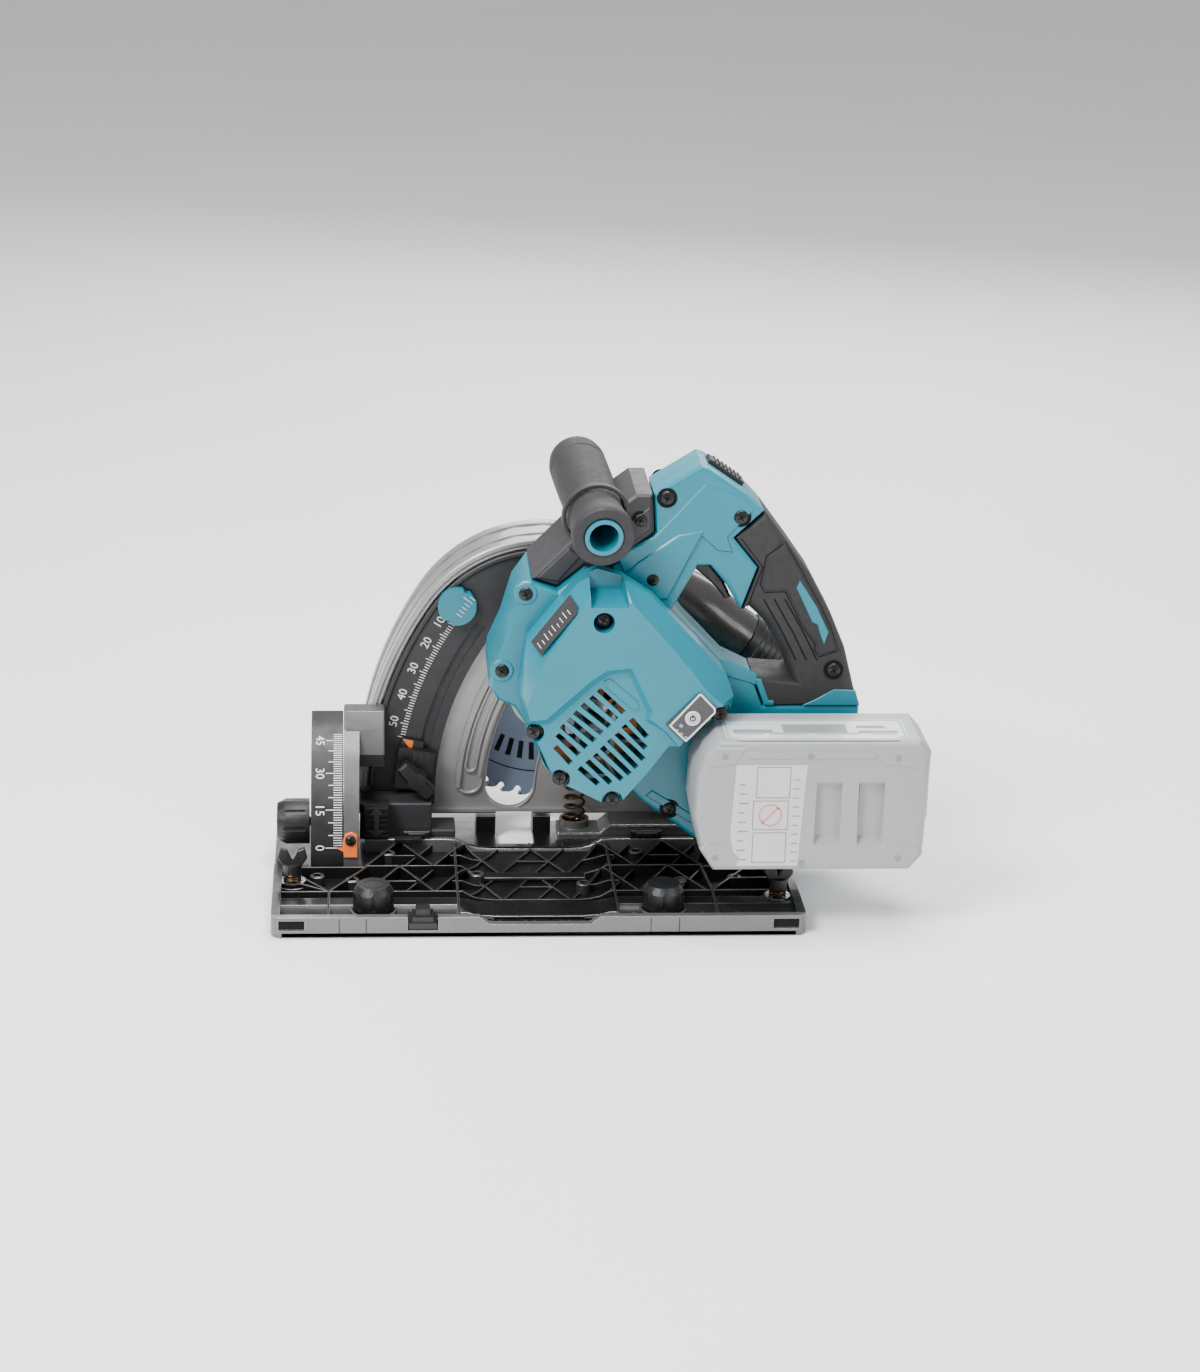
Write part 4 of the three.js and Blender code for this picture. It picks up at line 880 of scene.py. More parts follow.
def cover_label_plate():
    upper = ((20, -61, 196), (-8, -61, 161), (24.6, -75.9, 189))
    plate = [(14.6, 188.6), (18.6, 184.6), (17.8, 181.6), (-1.6, 157.4), (-6.4, 161.4)]
    Build().prism(plate, 0.0, 0.18, on_plane(upper, 0.0)).object(
        "name_plate", "head", M["label_film"])
    print_rows = Build()
    low = Vector((-2.2, 158.6))
    run = (Vector((17.4, 183.2)) - low)
    side = Vector((-run.y, run.x)).normalized()
    for row in range(9):
        start = low + run * (0.06 + 0.1 * row)
        width = (3.2, 2.4, 3.6, 2.8, 3.4, 2.2, 3.0, 3.6, 2.6)[row]
        end = start + side * width * 0.9
        step = run.normalized() * 0.42
        print_rows.prism([tuple(start + side * 0.4), tuple(end), tuple(end + step),
                          tuple(start + side * 0.4 + step)], 0.16, 0.24, on_plane(upper, 0.0))
    print_rows.object("name_plate_rows", "head", M["white_print"])


def grille_badge():
    outline = [(33.8, 141.6), (37.4, 143.4), (53.6, 129.4), (54.2, 125.0), (50.6, 123.4),
               (34.2, 137.6)]
    rim = Build()
    rings = [[(x, RECESS_Y + 0.2, z) for x, z in outline],
             [(x, RECESS_Y - 0.6, z) for x, z in inset(outline, 0.2)],
             [(x, RECESS_Y - 0.6, z) for x, z in inset(outline, 0.8)],
             [(x, RECESS_Y + 0.2, z) for x, z in inset(outline, 1.0)]]
    rim.loft(rings, closed=True)
    rim.object("grille_badge_frame", "head", M["teal_plastic"], 0.12)


def panel_box():
    """The raised box of the control panel with its pale frame and symbols."""
    frame_line = [(70.0, 117.2), (79.8, 107.4), (80.6, 107.4), (96.4, 124.6), (96.4, 127.4),
                  (88.0, 136.2), (86.4, 136.2)]
    line = Build()
    line.loft([[(x, -77.5, z) for x, z in inset(frame_line, 0.3)],
               [(x, -77.62, z) for x, z in inset(frame_line, 0.3)],
               [(x, -77.62, z) for x, z in inset(frame_line, 1.3)],
               [(x, -77.5, z) for x, z in inset(frame_line, 1.3)]], closed=True)
    line.ring(3.3, 4.3, 77.45, 77.62, (83.5, 0, 121.5), NEAR, 32)
    slope = math.radians(-41)

    def place(u, v, w):
        return (79.4 + u * math.cos(slope + math.pi / 2) - v * math.sin(slope + math.pi / 2),
                -77.5 - w,
                114.4 + u * math.sin(slope + math.pi / 2) + v * math.cos(slope + math.pi / 2))
    line.word("1", 2.4, 0.1, lambda u, v, w: place(u - 2.6, v + 3.2, w))
    line.word("2", 2.4, 0.1, lambda u, v, w: place(u - 2.6, v, w))
    line.word("0", 2.4, 0.1, lambda u, v, w: place(u - 2.6, v - 3.4, w))
    line.object("panel_lines", "head", M["white_print"])
    lamp = Build().prism(circle(77.2, 117.2, 1.1, 16), -77.7, -77.5)
    lamp.object("panel_lamp", "head", M["blue_light"], 0.1)
    mark = Build().ring(1.1, 1.7, 0, 0.12, (83.5, -77.9, 121.5), NEAR, 24)
    mark.box(83.2, 83.8, -78.02, -77.9, 121.5, 123.6)
    mark.object("power_mark", "power_button_body", M["deep_black"])


def head_screws():
    screws("cover_screws", "head", [((x, -69.8, z), NEAR, 20 + 37 * i)
                                    for i, (x, z) in enumerate(COVER_SCREWS)], 4.1)
    screws("flange_screws", "head", [((x, -46.4, z), NEAR, 12 + 50 * i)
                                     for i, (x, z) in enumerate(FLANGE_SCREWS)], 3.9, 5.6)
    places = [(69, 237.2), (110.8, 226.4), (62.5, 189.9), (167.2, 136.6), (76.5, 52.0)]
    screws("body_screws", "head", [((x, -38.35, z), NEAR, 30 + 43 * i)
                                   for i, (x, z) in enumerate(places)], 4.1, 5.7)
    bumps = Build()
    for i, (x, z) in enumerate(FLANGE_SCREWS):
        bumps.turned([(0, -3), (6.6, -3), (6.6, 0.1), (6.0, 0.6), (0, 0.6)], (x, -46, z), NEAR, 32)
    bumps.object("flange_screw_bosses", "head", M["teal_plastic"], 0.2)


# ---------------------------------------------------------------- body and handles
def body_plates():
    lower = [(44, 190.5), (52.9, 200.5), (75.5, 216.8), (91.5, 219.5), (71.5, 177.8), (61.5, 177.6)]
    arrow = [(41.5, 203.5), (62.2, 214.6), (90.4, 246.3), (111, 238.2), (118.5, 230.6),
             (104.3, 214.6), (108, 205), (98, 206.5), (88, 215.5), (76, 213.4), (53, 197.4),
             (46, 192.5)]
    plates = Build()
    plates.plate(lower, -37.5, -39.6, 1.6)
    plates.plate(arrow, -37.5, -38.7, 1.1)
    plates.object("body_panels_near", "head", M["teal_plastic"], 0.35, 2)
    far = Build()
    far.plate(arrow, 1.5, 2.7, 1.1)
    far.plate(lower, 1.5, 3.3, 1.6)
    far.object("body_panels_far", "head", M["teal_plastic"], 0.35, 2)
    ridge = Build()
    ridge.plate([(62, 60), (97, 38), (150, 44), (150, 48), (98, 44), (66, 64)], -37.5, -38.6, 0.8)
    ridge.plate([(86, 146), (108, 142), (124, 134), (124, 127), (104, 133), (88, 141)], -37.5, -38.6, 0.8)
    ridge.object("body_ridges_near", "head", M["teal_plastic"], 0.3, 2)


GRIP_OUTLINE = [
    (124.4, 229.3), (139, 210), (152, 192), (165, 168.5), (174, 148), (180.5, 124), (183.5, 115.5),
    (128.4, 115.5), (122.5, 130.8), (143.5, 130.8), (136.5, 147.5), (126.6, 164.2), (117.8, 172.6),
    (113.4, 171.7), (122.5, 197), (108.6, 214)]
GRIP_WEIGHTS = [0.35, 1.0, 1.0, 1.0, 1.0, 0.8, 0.2, 0.0, 0.1, 0.6, 0.9, 0.9, 0.7, 0.1, 0.02, 0.02]


def rear_grip():
    Build().rounded(GRIP_OUTLINE, -38, 2, 8.5, GRIP_WEIGHTS, 6).object(
        "rear_grip_overmould", "head", M["soft_rubber"], 0.0, replaces=["rear_grip"])
    pads = Build()
    pad = [(136.5, 213.0), (125.4, 204), (122.6, 187), (125.5, 181.8), (137.3, 182.2),
           (147.2, 163.1), (155.4, 151.4), (155.0, 148.4), (158.2, 143.6), (170.4, 147.6),
           (165.2, 161.5), (158, 176), (146.5, 196)]
    for low, high in ((-37.4, -38.5), (1.4, 2.5)):
        pads.plate(inset(pad, 1.6), low, high, 0.5)
    pads.object("grip_texture_pads", "head", M["textured_rubber"], 0.2)
    seams = Build()
    for y in (-38.1, 2.1):
        line = [(x, y, z) for x, z in inset(pad, 0.6)]
        seams.tube(line, 0.32, 6, closed=True)
        seams.tube([(111.5, y, 213.8), (124.2, y, 197.2), (116.5, y, 174)], 0.3, 6)
    seams.object("grip_seams", "head", M["deep_black"])
    # dark tubes along the grip grooves: painted shade in the grooves
    ribs = Build()
    for y in (-38.0, 2.0):
        for shift in (0, 6.0, 12.0):
            ribs.tube([(125.5 + shift, y, 178.5), (137.2 + shift, y, 158.5), (145.4 + shift, y, 142.5)],
                      0.45, 6)
    ribs.object("grip_groove_shade", "head", M["deep_black"])
    sliver = [(145.4, 190.0), (143.7, 185.1), (153.6, 164.9), (156.6, 163.6), (158.6, 157.2),
              (161.1, 151.6), (163.3, 159.2), (156, 174)]
    bright = Build()
    bright.plate(sliver, -37.9, -39.0, 0.5)
    bright.plate(sliver, 1.9, 3.0, 0.5)
    bright.object("grip_slivers", "head", M["teal_plastic"], 0.2, 2)
    corner = Build()
    corner.plate([(122.3, 131.2), (128.4, 115.2), (134, 115.2), (134, 118), (131, 118.4),
                  (126.2, 131.2)], -38.0, -39.0, 0.5)
    corner.plate([(158, 119), (168, 125), (180.4, 124.4), (183.4, 115.2), (150, 115.2)],
                 -38.0, -39.0, 0.5)
    corner.object("grip_corner_pieces", "head", M["teal_plastic"], 0.25, 2)


HANDLE_START = (32.3, -66.0, 222.4)
HANDLE_AXIS = (-0.0857, 0.986, 0.1463)
HANDLE_LENGTH = 110.5


def front_handle():
    end = HANDLE_LENGTH
    profile = [(10.9, 98), (10.9, 0.6), (12.2, -0.2), (16.6, -0.2), (17.6, 1.4), (17.4, 6),
               (16.0, 16), (15.4, 26), (15.8, 44), (16.4, 66), (16.5, 84), (16.5, end - 20.2),
               (16.0, end - 19.6), (16.0, end - 18.8), (16.5, end - 18.2), (16.4, end - 11),
               (15.4, end - 5.6), (13.4, end - 2.4), (9, end - 0.5), (0.01, end), (0.01, 98)]
    Build().turned(profile, HANDLE_START, HANDLE_AXIS, 56).object(
        "front_handle_rubber", "head", M["soft_rubber"], 0.0, replaces=["front_handle_grip"])
    rim = Build().ring(8.3, 10.7, -0.9, 0.6, HANDLE_START, HANDLE_AXIS, 48)
    rim.object("front_handle_rim", "head", M["teal_plastic"], 0.3, 2)


def bracket_details():
    collar = Build()
    collar.ring(16.9, 19.2, 27.5, 31.5, HANDLE_START, HANDLE_AXIS, 48)
    collar.object("handle_collar", "head", M["charcoal_plastic"], 0.6, 3)
    plate = Build()
    plate.plate([(-2.5, 190.5), (15.2, 208.6), (22, 203), (9.6, 188.2)], -37.5, -38.8, 0.8)
    plate.plate([(46, 221), (59.5, 232), (60.8, 219), (47, 208)], -37.5, -38.8, 0.8)
    plate.object("bracket_plates", "head", M["charcoal_plastic"], 0.3, 2)
    screws("bracket_screws", "head", [((54.5, -38.4, 224.5), NEAR, 25)], 3.6, 5.0)


def lock_off_ribs():
    ribs = Build()
    ax, az = 0.824, -0.566
    nx, nz = -az, ax
    for i in range(7):
        u = -8.4 + 2.8 * i
        corners = [(u - 0.7, 1.6), (u + 0.7, 1.6), (u + 0.35, 3.2), (u - 0.35, 3.2)]
        ribs.prism([(102.6 + a * ax + b * nx, 247.4 + a * az + b * nz) for a, b in corners],
                   -23.5, -12.5)
    ribs.object("lock_off_ribs", "lock_off_body", M["black_plastic"], 0.2)


# ---------------------------------------------------------------- blade case
def case_outline(grow=0.0, bottom=15.5):
    swing = math.degrees(math.atan2(BLADE_Z - PIVOT_Z, BLADE_X - PIVOT_X))
    points = [(PIVOT_X - SWING - CASE_TOP_RADIUS, bottom)]
    points += arc(PIVOT_X, PIVOT_Z, SWING + CASE_TOP_RADIUS, 178, swing, 28)
    points += arc(BLADE_X, BLADE_Z, CASE_TOP_RADIUS, swing - 3, -4, 36)
    points += [(98, 76), (133, 48), (133, bottom)]
    return inset(points, -grow) if grow else points


def rim_band(inner, outer, y0, y1, chamfer=0.5):
    """A band that follows the case's outline; inner and outer are distances inside it."""
    out = case_outline(-outer)[1:-4]
    inn = case_outline(-inner)[1:-4]
    profile = [(inn, y1), (out, y1), (out, y0 + chamfer), (inset_open(out, inn, 0.25), y0),
               (inset_open(inn, out, 0.25), y0), (inn, y0 + chamfer)]
    rings = []
    for i in range(len(out)):
        rings.append([(line[i][0], y, line[i][1]) for line, y in profile])
    return rings


def inset_open(line, towards, share):
    return [(a[0] + (b[0] - a[0]) * share, a[1] + (b[1] - a[1]) * share)
            for a, b in zip(line, towards)]


def case_rim():
    bands = Build()
    bands.loft(rim_band(-1.0, 2.6, 44.8, 53.0, 0.9))
    bands.loft(rim_band(3.0, 4.4, 45.4, 50.2, 0.4))
    bands.loft(rim_band(-0.7, 0.6, 60.0, 64.0, 0.5))
    bands.loft(rim_band(-0.9, 0.6, 79.0, 86.4, 0.6))
    bands.object("case_rim_steps", "tilt_frame", M["rim_metal"], 0.0)
    dark = Build()
    dark.loft(rim_band(5.6, 9.2, 45.2, 50.0, 0.8))
    dark.object("case_rim_seal", "tilt_frame", M["charcoal_plastic"], 0.3, 2)


def case_ribs():
    ribs = Build()
    for inner, outer, start, end in ((148.2, 163.2, 176.5, 140), (152.6, 158.8, 173.0, 141)):
        path = [(x, 49.2, z) for x, z in arc(PIVOT_X, PIVOT_Z, outer, end, start, 26)]
        middle = (inner + outer) / 2
        radius = (outer - inner) / 2
        cx, cz = polar(PIVOT_X, PIVOT_Z, middle, start)
        away = start
        for k in range(1, 8):
            x, z = polar(cx, cz, radius, away + 180 * k / 8)
            path.append((x, 49.2, z))
        path += [(x, 49.2, z) for x, z in arc(PIVOT_X, PIVOT_Z, inner, start, end, 26)]
        ribs.tube(path, 1.15, 10)
    slot = [(x, 49.6, z) for x, z in arc(PIVOT_X, PIVOT_Z, 147.2, 176, 142, 26)]
    ribs.tube(slot, 0.8, 8)
    ribs.object("case_ribs", "tilt_frame", M["silver_paint"])
    window = Build()
    slot_radius = math.hypot(131, 7)
    centre = (PIVOT_X - slot_radius + 0.1, PIVOT_Z + 7)
    edge = [(x, 49.9, z) for x, z in arc(PIVOT_X, PIVOT_Z, slot_radius - 15, 141, 177, 20)]
    edge += [(x, 49.9, z) for x, z in arc(centre[0], centre[1], 15, 357, 180, 14)][1:]
    edge += [(x, 49.9, z) for x, z in arc(PIVOT_X, PIVOT_Z, slot_radius + 15, 177, 141, 20)][1:]
    window.tube(edge, 0.7, 8)
    window.object("case_window_edge", "tilt_frame", M["rim_metal"])


SCALE_ZERO = 38.1
SCALE_STEP = 26.9 / 55


def depth_ticks():
    marks = Build()
    for depth in range(2, 56):
        turn = 180 - (SCALE_ZERO - depth * SCALE_STEP)
        length = 4.6 if depth % 5 == 0 else 3.0
        half = math.degrees(0.22 / 200)
        outline = [polar(PIVOT_X, PIVOT_Z, 197.6, turn - half),
                   polar(PIVOT_X, PIVOT_Z, 197.6 + length, turn - half),
                   polar(PIVOT_X, PIVOT_Z, 197.6 + length, turn + half),
                   polar(PIVOT_X, PIVOT_Z, 197.6, turn + half)]
        marks.prism(outline, 46.45, 46.62)
    for depth in (10, 20, 30, 40, 50):
        low = 1.6 if depth == 10 else 0.0
        turn = math.radians(SCALE_ZERO - (depth + low) * SCALE_STEP)
        cx = PIVOT_X - 206.2 * math.cos(turn)
        cz = PIVOT_Z + 206.2 * math.sin(turn)

        def place(u, v, w, cx=cx, cz=cz, turn=turn):
            return (cx + u * math.sin(turn) - v * math.cos(turn), 46.5 - w,
                    cz + u * math.cos(turn) + v * math.sin(turn))
        marks.word(str(depth), 7.0, 0.12, place)
    marks.object("depth_ticks", "tilt_frame", M["white_print"])
    disc = Build()
    for depth in range(-1, 5):
        turn = SCALE_ZERO - (depth * 1.5 - 1.0) * SCALE_STEP
        half = math.degrees(0.2 / 200)
        length = 6.6 if depth == 0 else 3.6
        outline = [polar(PIVOT_X, PIVOT_Z, 198.4, 180 - turn - half),
                   polar(PIVOT_X, PIVOT_Z, 198.4 + length, 180 - turn - half),
                   polar(PIVOT_X, PIVOT_Z, 198.4 + length, 180 - turn + half),
                   polar(PIVOT_X, PIVOT_Z, 198.4, 180 - turn + half)]
        disc.prism(outline, 40.8, 41.05)
    disc.object("scoring_disc_ticks", "scoring_disc_body", M["white_print"])


def depth_pointer():
    tip = [polar(PIVOT_X, PIVOT_Z, r, 180 - a) for r, a in ((199.2, 11.3), (192.6, 11.3), (192.6, 9.4))]
    Build().prism(tip, 42.2, 42.7).object("depth_pointer", "depth_stop_body", M["orange_plastic"], 0.12)
    ribs = Build()
    for r in (182.5, 186.5, 190.5):
        ribs.prism([polar(PIVOT_X, PIVOT_Z, r - 0.5, 180 - 9.6), polar(PIVOT_X, PIVOT_Z, r + 0.5, 180 - 9.6),
                    polar(PIVOT_X, PIVOT_Z, r + 0.5, 180 - 7.8), polar(PIVOT_X, PIVOT_Z, r - 0.5, 180 - 7.8)],
                   38.0, 38.6)
    ribs.object("depth_stop_ribs", "depth_stop_body", M["charcoal_plastic"], 0.2)


# ---------------------------------------------------------------- bevel scale
ZERO_RISE = 12.55


def drum(x0, start, radius=SCALE_RADIUS):
    """Wraps (along the drum, across it, outwards) round the bevel drum."""
    def place(u, v, w):
        turn = math.radians(180 - start + math.degrees(u / radius))
        return (x0 + v, BLADE_Y + (radius + w) * math.cos(turn), (radius + w) * math.sin(turn))
    return place


def bevel_scale():
    marks = Build()
    for degree in range(0, 49):
        length = 9.5 if degree % 15 == 0 else 8.0 if degree % 5 == 0 else 5.0
        place = drum(-110.9, ZERO_RISE + degree)
        marks.loft([[place(u, v, w) for u, v in rectangle(-0.24, -length, 0.24, 0)]
                    for w in (-0.1, 0.06)])
    for degree in (0, 15, 30, 45):
        marks.word(str(degree), 7.2, 0.1, drum(-124.0, ZERO_RISE + degree))
    marks.object("bevel_ticks", "base", M["white_print"])
    pointer = Build()
    place = drum(-106.2, ZERO_RISE)
    flat = [(-4.2, -3.6), (4.4, -4.6), (9.8, -3.0), (11.0, 1.0), (9.0, 4.2), (-4.2, 4.2)]
    pointer.loft([[place(-u + 1.5, v, w) for u, v in outline]
                  for outline, w in ((flat, 0.1), (flat, 1.0), (inset(flat, 0.5), 1.5))])
    pointer.loft([[place(u, v, w) for u, v in ((-0.3, -3.4), (2.6, -3.4), (0.3, -7.6), (-0.3, -7.6))]
                  for w in (0.1, 0.9)])
    pointer.object("bevel_pointer", "tilt_frame", M["orange_plastic"], 0.25, 2)
    turn = math.radians(180 - ZERO_RISE - 3.0)
    direction = (0, math.cos(turn), math.sin(turn))
    origin = (-106.0, BLADE_Y + (SCALE_RADIUS + 1.4) * math.cos(turn), (SCALE_RADIUS + 1.4) * math.sin(turn))
    screws("pointer_screw", "tilt_frame", [(origin, direction, 20)], 3.2)


# ---------------------------------------------------------------- blade and springs
TEETH = 48


def saw_blade():
    outline = []
    step = 360 / TEETH
    for i in range(TEETH):
        base = -i * step
        for radius, share in ((82.5, 0.0), (79.9, 0.04), (77.4, 0.16), (76.6, 0.30), (77.6, 0.42),
                              (80.4, 0.52), (81.8, 0.74), (82.3, 0.97)):
            outline.append(polar(BLADE_X, BLADE_Z, radius, base - step * share))
    disc = Build()
    bore = [polar(BLADE_X, BLADE_Z, 5.2, -360 * i / len(outline)) for i in range(len(outline))]
    disc.loft([[(x, y, z) for x, z in ring] for ring, y in (
        (bore, BLADE_Y - 0.85), (outline, BLADE_Y - 0.85), (outline, BLADE_Y + 0.85),
        (bore, BLADE_Y + 0.85))], closed=True)
    disc.object("saw_blade_disc", "blade_group", M["blade_steel"], 0.0, replaces=["saw_blade"])
    tips = Build()
    for i in range(TEETH):
        base = -i * step
        tip = [polar(BLADE_X, BLADE_Z, 82.5, base), polar(BLADE_X, BLADE_Z, 79.6, base - step * 0.03),
               polar(BLADE_X, BLADE_Z, 79.9, base - step * 0.16),
               polar(BLADE_X, BLADE_Z, 82.2, base - step * 0.24)]
        tips.prism(tip, BLADE_Y - 1.1, BLADE_Y + 1.1)
    tips.object("saw_blade_tips", "blade_group", M["brushed_steel"], 0.06, 1)
    ink = Build()
    for y0, y1 in ((BLADE_Y - 0.93, BLADE_Y - 0.82), (BLADE_Y + 0.82, BLADE_Y + 0.93)):
        for k in range(4):
            start = 90 * k + 42
            line = arc(BLADE_X, BLADE_Z, 66.6, start, start + 58, 20) + arc(
                BLADE_X, BLADE_Z, 65.8, start + 58, start, 20)
            ink.prism(line, y0, y1)
            ink.prism([polar(BLADE_X, BLADE_Z, 64, start - 8), polar(BLADE_X, BLADE_Z, 77.5, start - 4.8),
                       polar(BLADE_X, BLADE_Z, 77.5, start - 4.3), polar(BLADE_X, BLADE_Z, 64, start - 7.4)],
                      y0, y1)
            for n in range(7):
                low = start + 4 + 7.2 * n
                ink.prism([polar(BLADE_X, BLADE_Z, 48, low), polar(BLADE_X, BLADE_Z, 59, low + 1.4),
                           polar(BLADE_X, BLADE_Z, 59, low + 4.6), polar(BLADE_X, BLADE_Z, 48, low + 3.4)],
                          y0, y1)
    ink.object("saw_blade_print", "blade_group", M["deep_black"])


def helix(cx, cy, low, high, radius, turns, per_turn=20, closed_ends=1.0):
    """A compression spring's centre line, with one close-wound turn at each end."""
    path = []
    count = int(turns * per_turn)
    for i in range(count + 1):
        turn = i / per_turn
        if turn < closed_ends:
            share = 0.02 * turn
        elif turn > turns - closed_ends:
            share = 1 - 0.02 * (turns - turn)
        else:
            share = 0.02 + 0.96 * (turn - closed_ends) / (turns - 2 * closed_ends)
        path.append((cx + radius * math.cos(math.tau * turn), cy + radius * math.sin(math.tau * turn),
                     low + (high - low) * share))
    return path


def return_spring():
    coil = Build().tube(helix(27.5, 38.0, 13.1, 82.4, 5.65, 13.0), 0.95, 10)
    obj = coil.object("return_spring_coil", "tilt_frame", M["spring_steel"], 0.0,
                      replaces=["return_spring"])
    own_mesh(obj)


def corner_springs():
    for name, x, y in (("front", -139, -41), ("rear", 137.5, -65.5)):
        coil = Build().tube(helix(x, y, 10.6, 15.2, 4.6, 4.0, 18, 0.5), 0.5, 8)
        coil.object(name + "_corner_spring", name + "_corner_screw_body", M["spring_steel"])
        washer = Build().ring(3.2, 7.6, 0.0, 0.9, (x, y, 9.2), (0, 0, 1), 32)
        washer.object(name + "_corner_washer", name + "_corner_screw_body", M["brushed_steel"], 0.15)


# ---------------------------------------------------------------- base plate
HALF = 150.0
NEAR_EDGE = -100.0
FAR_EDGE = 66.0
SKIN = 3.0
RIM_TOP = 12.0
RIB_TOP = 10.0
RAIL_Y = -71.0
FLANGE_Y = 18.0
RIM_RECESSES = ((-146, -131), (131, 146))


def dip(x):
    """Highest metal at x: the casting is scooped low in the middle."""
    reach = abs(x)
    if reach <= 26:
        return 4.5
    if reach <= 34:
        return 5.0
    return 5.0 + (reach - 34) * 7.0 / 12


def bar(build, x0, y0, x1, y1, top, width=1.8, low=2.0):
    """A tapered rib along a straight line; it follows the dip."""
    count = max(2, int(math.hypot(x1 - x0, y1 - y0) / 6))
    side = Vector((-(y1 - y0), x1 - x0)).normalized()
    rings = []
    for i in range(count + 1):
        x = x0 + (x1 - x0) * i / count
        y = y0 + (y1 - y0) * i / count
        high = max(SKIN + 0.4, min(top, dip(x)))
        rings.append([(x + side.x * w, y + side.y * w, z)
                      for w, z in ((width * 0.62, low), (-width * 0.62, low),
                                   (-width * 0.38, high), (width * 0.38, high))])
    build.loft(rings)


def base_ribs():
    ribs = Build()
    pitch = 39.0
    for low, high in ((-58, -20), (-20, FLANGE_Y)):
        for i in range(5):
            x = -97 + i * pitch
            bar(ribs, x, low, x + pitch / 2, high, RIB_TOP)
            bar(ribs, x + pitch / 2, high, x + pitch, low, RIB_TOP)
            bar(ribs, x + pitch / 2, low, x + pitch, high, RIB_TOP - 2.6, 1.3)
            bar(ribs, x + pitch / 4, (low + high) / 2, x + 3 * pitch / 4, (low + high) / 2,
                RIB_TOP - 1.6, 1.4)
    for i in range(12):
        x = -112 + i * 19.5
        bar(ribs, x, -96, x + 9.5, -84.5, 8.0, 1.4)
        bar(ribs, x + 9.5, -84.5, x + 19, -96, 8.0, 1.4)
    bar(ribs, -97, -20, 98, -20, RIB_TOP)
    bar(ribs, -145, -57.5, 145, -57.5, RIB_TOP)
    bar(ribs, -145, -84.5, 145, -84.5, 7.4, 1.6)
    for x in (-118, -45, 45, 101):
        bar(ribs, x, -97, x, -57, RIB_TOP)
    for x in (-45, 45):
        bar(ribs, x, -57, x, FLANGE_Y, RIB_TOP - 0.6)
    for ends in ((-118, -57, -145, -22), (101, -57, 125, -22), (-145, -22, -97, -22),
                 (98, -22, 145, -22), (-118, -57, -97, -22), (101, -57, 98, -22),
                 (-145, -39, -118, -57), (145, -39, 112, -40)):
        bar(ribs, *ends, RIB_TOP)
    for x in (-139, -132, 126, 133):
        bar(ribs, x, -96, x, -86, 7.0, 1.4)
    bar(ribs, -98, FLANGE_Y + 2, 98, FLANGE_Y + 2, RIB_TOP, 4.0)
    for x in range(-80, 90, 20):
        bar(ribs, x, FLANGE_Y + 4, x, FLANGE_Y + 9, 6.0, 1.6)
    return ribs


def rim_section(build, points, height):
    """The upright wall round three sides; points are (x, y, inward x, inward y)."""
    rings = []
    for x, y, ix, iy in points:
        top = height(x, y)
        rings.append([(x, y, 0.0), (x, y, top), (x + ix * 5, y + iy * 5, top), (x + ix * 5, y + iy * 5, 0.0)])
    build.loft(rings)


def rim_top(x, y):
    if y > NEAR_EDGE + 0.5 or abs(x) >= 34:
        return RIM_TOP
    return 7.5 if abs(x) <= 28 else 7.5 + (abs(x) - 28) * 0.75


